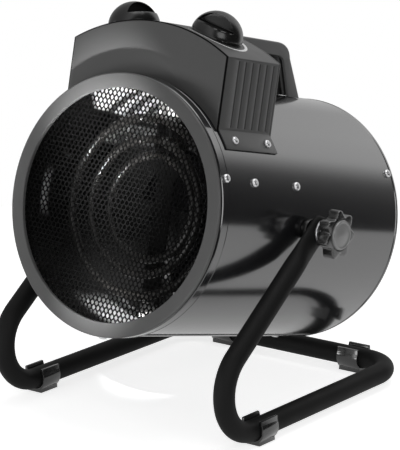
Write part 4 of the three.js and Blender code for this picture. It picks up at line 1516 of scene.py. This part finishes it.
@dataclass
class Screws(Assembly):
    """Cross-recessed pan-head screws in the drum wall."""

    head: float = 3.6
    height: float = 2.4
    shank: float = 1.75
    facets: int = 40
    recess_width: float = 0.75
    recess_tool: float = 1.4
    seat: float = 108.5
    skirt: float = 109.7
    flange: float = 1.6
    bezel_y: float = -116.4
    bezel_angle: float = 70.6
    bezel_length: float = 4.6
    rear_y: float = 134.0
    rear_angle: float = 61.2
    rear_length: float = 8.0
    flange_angle: float = 52.7
    flange_length: float = 5.2
    shield_angle: float = 71.4
    shield_length: float = 11.0

    def places(self) -> dict[str, Point]:
        """Each screw's angle from the top, y, seat radius, length and turn of its recess."""
        bezel = (self.bezel_y, self.skirt, self.bezel_length)
        rear = (self.rear_y, self.seat, self.rear_length)
        places = {
            "bezel_screw_right": (self.bezel_angle, *bezel, 12),
            "bezel_screw_left": (-self.bezel_angle, *bezel, 40),
            "bezel_screw_bottom": (180.0, *bezel, 5),
            "rear_screw_right": (self.rear_angle, *rear, 30),
            "rear_screw_left": (-self.rear_angle, *rear, 62),
            "rear_screw_bottom": (180.0, *rear, 45),
        }
        box = self.seat + self.flange
        for hand, side in (("left", -1), ("right", 1)):
            flange, shield = side * self.flange_angle, side * self.shield_angle
            places |= {
                f"flange_screw_{hand}_front": (flange, -90.1, box, self.flange_length, 20),
                f"flange_screw_{hand}_rear": (flange, -44.3, box, self.flange_length, 35),
                f"shield_screw_{hand}_front": (shield, -75.8, self.seat, self.shield_length, 50),
                f"shield_screw_{hand}_rear": (shield, -15.4, self.seat, self.shield_length, 8),
            }
        return places

    def build(self) -> None:
        """Makes one screw of each length and stands copies at their places."""
        made: dict[float, bpy.types.Object] = {}
        for node, (angle, y, seat, length, recess) in self.places().items():
            if length not in made:
                made[length] = self._screw(length)
            screw = self.bench.copy(made[length], f"fixing_{node}")
            rise = Matrix.Translation((0, y, 0)) @ about("Y", angle) @ Matrix.Translation((0, 0, seat + GAP))
            self.bench.turn(screw, rise @ about("Z", recess))
            self.shop.hand_over(screw, ZINC, "heater", node)
        for pattern in made.values():
            bpy.data.objects.remove(pattern)

    def _screw(self, length: float) -> bpy.types.Object:
        """A domed head with a cross recess, on a pointed shank.

        Args:
            length: The shank's length.

        Returns:
            The screw, standing up from its seat.
        """
        bench, head, h = self.bench, self.head, self.height
        screw = bench.lathe(f"screw_{length:g}", [
            (0, -length), (self.shank, -length + 2), (self.shank, 0), (head, 0),
            (head, h * 0.35), (head * 0.9, h * 0.7), (head * 0.62, h * 0.94), (0, h),
        ], self.facets, closed=False)
        bench.turn(screw, about("X", 90))
        reach, width = head * 1.15, self.recess_width
        for x, y in ((reach, width), (width, reach)):
            bench.cut(screw, bench.block("arm", (x, y, self.recess_tool), (0, 0, h)))
        return bench.smooth(screw, SHARP)


@dataclass
class RearEnd(Assembly):
    """The slotted inlet guard and the cable gland."""

    box: ControlBox
    radius: float = 106.2
    plate: float = 1.2
    face: float = 139.2
    flange: float = 127.5
    facets: int = 144
    edge_round: float = 0.3
    rings: int = 4
    bars: int = 6
    first: float = 34.0
    pitch: float = 16.4
    slot: float = 11.4
    slot_steps: int = 12
    bridge: float = 6.0
    gland_bore: float = 4.2
    gland_thread: float = 8.0
    gland_facets: int = 64
    nut_round: float = 0.5
    nut_depth: float = 5.0

    def build(self) -> None:
        """Makes the guard and the gland."""
        self._guard()
        self._gland()

    def _guard(self) -> None:
        """Makes a pressed cup with rings of arc slots between its spokes."""
        bench, outer, face = self.bench, self.radius, self.face
        inner, back = outer - self.plate, face - self.plate
        cup = bench.lathe("inlet_guard", [
            (0, back), (inner, back), (inner, self.flange), (outer, self.flange),
            (outer, face - 1), (outer - 1, face), (0, face),
        ], self.facets, closed=False)
        slots = []
        for ring in range(self.rings):
            low = self.first + ring * self.pitch
            high = low + self.slot
            margin = math.degrees(self.bridge / low)
            for k in range(self.bars):
                start, end = 360 * k / self.bars + margin, 360 * (k + 1) / self.bars - margin
                outline = arc(high, start, end, self.slot_steps) + arc(low, end, start, self.slot_steps)
                slots.append(bench.slab("slot", outline, face - 4, face + 4))
        bench.cut(cup, bench.gather(*slots))
        bench.soften(cup, self.edge_round)
        self.shop.hand_over(bench.smooth(cup), GUARD_ENAMEL, "heater", "rear_guard")

    def _gland(self) -> None:
        """Makes the cable entry: hexagon, dome nut, thread and lock nut."""
        bench, bore, thread, out = self.bench, self.gland_bore, self.gland_thread, self.box.rear + GAP
        body = bench.lathe("cable_entry", [
            (bore, out - 14), (thread, out - 14), (thread, out), (9.6, out), (9.6, out + 14),
            (9.0, out + 17), (7.6, out + 19.4), (6.2, out + 20), (bore, out + 20),
        ], self.gland_facets)
        for low, radius in ((out, 11.5), (out - 7.6, 12.0)):
            high, inside = low + self.nut_depth, thread - 1
            nut = bench.lathe("nut", [(inside, low), (radius, low), (radius, high), (inside, high)], 6)
            bench.weld(body, bench.soften(nut, self.nut_round))
        bench.turn(body, Matrix.Translation((self.box.gland_x, 0, self.box.gland_z)))
        self.shop.hand_over(bench.smooth(body), KNOB_PLASTIC, "heater", "cable_gland")


# ------------------------------------------------------------------ studio
@dataclass
class Viewpoint:
    """The camera, at the photograph's viewing angle."""

    azimuth: float = 37.82
    elevation: float = 14.27
    roll: float = -0.566
    distance: float = 2.0929
    lens: float = 193.83
    sensor: float = 36.0
    target: Point = (0.0, -0.007628, 0.2041)
    shift_right: float = -0.00309
    shift_up: float = -0.05194

    def build(self) -> None:
        """Places the camera."""
        a, e, r = (math.radians(v) for v in (self.azimuth, self.elevation, self.roll))
        back = Vector((math.sin(a) * math.cos(e), -math.cos(a) * math.cos(e), math.sin(e)))
        right = Vector((math.cos(a), math.sin(a), 0.0))
        up = back.cross(right)
        right, up = right * math.cos(r) + up * math.sin(r), up * math.cos(r) - right * math.sin(r)
        aim = Vector(self.target) + right * self.shift_right + up * self.shift_up
        data = bpy.data.cameras.new("viewpoint")
        data.lens = self.lens
        data.sensor_width = self.sensor
        camera = bpy.data.objects.new("viewpoint", data)
        bpy.context.scene.collection.objects.link(camera)
        basis = Matrix((right, up, back)).transposed().to_4x4()
        camera.matrix_world = Matrix.Translation(aim + back * self.distance) @ basis
        bpy.context.scene.camera = camera


class LampKind(Enum):
    """How a lamp spreads its light."""

    SOFT = "AREA"
    NARROW = "SPOT"


@dataclass(frozen=True)
class Lamp:
    """A lamp: a soft one as wide as its spread in metres, or a narrow one with a cone in degrees."""

    name: str
    kind: LampKind
    place: Point
    spread: float
    watts: float
    aim: Point = (0.0, 0.0, 0.17)
    cone_blend: float = 0.45
    cone_radius: float = 0.025

    def build(self) -> None:
        """Hangs the lamp."""
        data = bpy.data.lights.new(self.name, self.kind.value)
        data.energy = self.watts
        if self.kind is LampKind.SOFT:
            data.size = self.spread
        else:
            data.spot_size = math.radians(self.spread)
            data.spot_blend = self.cone_blend
            data.shadow_soft_size = self.cone_radius
        lamp = bpy.data.objects.new(self.name, data)
        bpy.context.scene.collection.objects.link(lamp)
        turn = (Vector(self.aim) - Vector(self.place)).to_track_quat("-Z", "Y").to_matrix().to_4x4()
        lamp.matrix_world = Matrix.Translation(self.place) @ turn
        lamp.visible_camera = self.kind is not LampKind.SOFT


@dataclass
class Studio:
    """A pale floor, soft lamps, two narrow ones and a room that is bright on one side."""

    floor_radius: float = 0.72
    floor_drop: float = 0.0003
    floor_white: Point = (0.85, 0.85, 0.85, 1.0)
    floor_roughness: float = 0.9
    floor_glow: float = 0.73
    floor_mirror: float = 0.35  # the same glow as reflections see it
    floor_facets: int = 128
    ambient: float = 0.26
    # How bright the room is in reflections, by how far a ray points to the right, from -1 to 1.
    room: tuple[tuple[float, float], ...] = (
        (-1.0, 0.35), (-0.35, 0.55), (0.0, 0.95), (0.26, 1.15), (0.40, 0.22), (0.50, 0.08), (0.60, 0.02),
    )
    # The two narrow lamps shine into the outlet.
    lamps: tuple[Lamp, ...] = (
        Lamp("key", LampKind.SOFT, (-1.9, -1.2, 0.4), 0.45, 4.0),
        Lamp("fill", LampKind.SOFT, (1.9, -1.2, 0.9), 1.2, 13.5),
        Lamp("top", LampKind.SOFT, (0.2, 0.3, 2.2), 1.4, 12.0),
        Lamp("low_front", LampKind.SOFT, (-0.1, -1.3, 0.06), 0.35, 2.2),
        Lamp("snoot_low", LampKind.NARROW, (0.12, -0.50, 0.02), 13.8, 72.0, (-0.015, -0.112, 0.232)),
        Lamp("snoot_high", LampKind.NARROW, (0.35, -1.00, 0.75), 3.3, 280.0, (-0.027, -0.085, 0.079)),
    )

    def build(self) -> None:
        """Makes the floor, the world and the lamps."""
        self._floor()
        self._world()
        for lamp in self.lamps:
            lamp.build()

    def _floor(self) -> None:
        """Makes the floor, nearly white to the camera but for the heater's shadow."""
        bpy.ops.object.select_all(action="DESELECT")
        bpy.ops.mesh.primitive_circle_add(
            vertices=self.floor_facets, radius=self.floor_radius, fill_type="NGON",
            location=(0, 0, -self.floor_drop),
        )
        floor = bpy.context.object
        floor.name = "floor"
        material = bpy.data.materials.new("floor_paper")
        material.use_nodes = True
        desk = NodeDesk(material.node_tree)
        seen = desk.add("ShaderNodeLightPath").outputs
        mirrored = desk.maths("MULTIPLY", seen["Is Glossy Ray"], self.floor_mirror)
        desk.feed(desk.tree.nodes["Principled BSDF"], {
            "Base Color": self.floor_white, "Roughness": self.floor_roughness, "Emission Color": WHITE,
            "Emission Strength": desk.maths("MULTIPLY_ADD", seen["Is Camera Ray"], self.floor_glow, mirrored),
        })
        floor.data.materials.append(material)

    def _world(self) -> None:
        """Makes a white room for the camera, a half-bright one for reflections and a dim one for light."""
        world = bpy.data.worlds.new("room")
        bpy.context.scene.world = world
        world.use_nodes = True
        desk = NodeDesk(world.node_tree)
        desk.tree.nodes.clear()
        seen = desk.add("ShaderNodeLightPath").outputs
        place = desk.add("ShaderNodeTexCoord").outputs["Generated"]
        side = desk.add("ShaderNodeSeparateXYZ", {"Vector": place}).outputs["X"]
        share = desk.add("ShaderNodeMapRange", {"Value": side, "From Min": -1.0}).outputs["Result"]
        ramp = desk.add("ShaderNodeValToRGB", {"Fac": share})
        stops = ramp.color_ramp.elements
        for k, (reach, level) in enumerate(self.room):
            stop = stops[k] if k < 2 else stops.new((reach + 1) / 2)
            stop.position, stop.color = (reach + 1) / 2, (*grey(level), 1)
        dim, mirrored, shown = (
            desk.add("ShaderNodeBackground", {"Color": colour, "Strength": strength}).outputs["Background"]
            for colour, strength in ((WHITE, self.ambient), (ramp.outputs["Color"], 1.0), (WHITE, 1.0))
        )
        shiny = desk.maths("MAXIMUM", seen["Is Glossy Ray"], seen["Is Transmission Ray"])
        unseen = desk.add("ShaderNodeMixShader", {"Fac": shiny, 1: dim, 2: mirrored}).outputs["Shader"]
        room = desk.add("ShaderNodeMixShader", {"Fac": seen["Is Camera Ray"], 1: unseen, 2: shown})
        desk.add("ShaderNodeOutputWorld", {"Surface": room.outputs["Shader"]})


# ------------------------------------------------------------------ assembly
def frames(joints: list[dict]) -> tuple[Matrix, Matrix]:
    """Works out the drum's and the stand's frames from the model's joints.

    Args:
        joints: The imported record's joints.

    Returns:
        The drum's frame and the stand's frame.
    """
    by_name = {joint["name"]: joint for joint in joints}
    pivot = Vector(by_name["heater_tilt"]["pos_m"])
    across = Vector((1, 0, 0))
    back = Vector(by_name["fan_spin"]["axis"]).normalized()
    basis = Matrix((across, back, across.cross(back))).transposed().to_4x4()
    return Matrix.Translation(pivot) @ basis, Matrix.Translation((0, pivot.y, 0))


def main() -> None:
    """Builds the heater's pieces in order."""
    logging.basicConfig(level=logging.INFO, format="%(message)s")
    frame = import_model()
    Viewpoint().build()
    bpy.context.scene.view_settings.view_transform = "Standard"
    drum_frame, stand_frame = frames(frame["joints"])
    shop = Workshop(Bench(), PaintShop(drum_frame), drum_frame, stand_frame)
    box = ControlBox(shop)
    for assembly in (
        Drum(shop), Outlet(shop), HeatingRods(shop), box, Dials(shop, box), Handle(shop),
        Stand(shop), TiltPivots(shop), Screws(shop), RearEnd(shop, box),
    ):
        assembly.build()
    spacers = [f"shield_spacer_{hand}_{end}" for hand in ("left", "right") for end in ("front", "rear")]
    for finish, names in (
        (ZINC, ("motor_bracket", "fan_nut", "pivot_stud_left", "pivot_stud_right", *spacers)),
        # The element bracket takes the drum's painted light and shade by place.
        (BRACKET_STEEL, ("element_bracket",)),
        (MOTOR_METAL, ("motor",)),
        (FAN_METAL, ("fan_rotor",)),
        (CERAMIC, ("thermal_cutout", "terminal_block", "thermostat", "power_switch")),
    ):
        shop.dress(frame["nodes"], finish, *names)
    Studio().build()


if __name__ == "__main__":
    main()
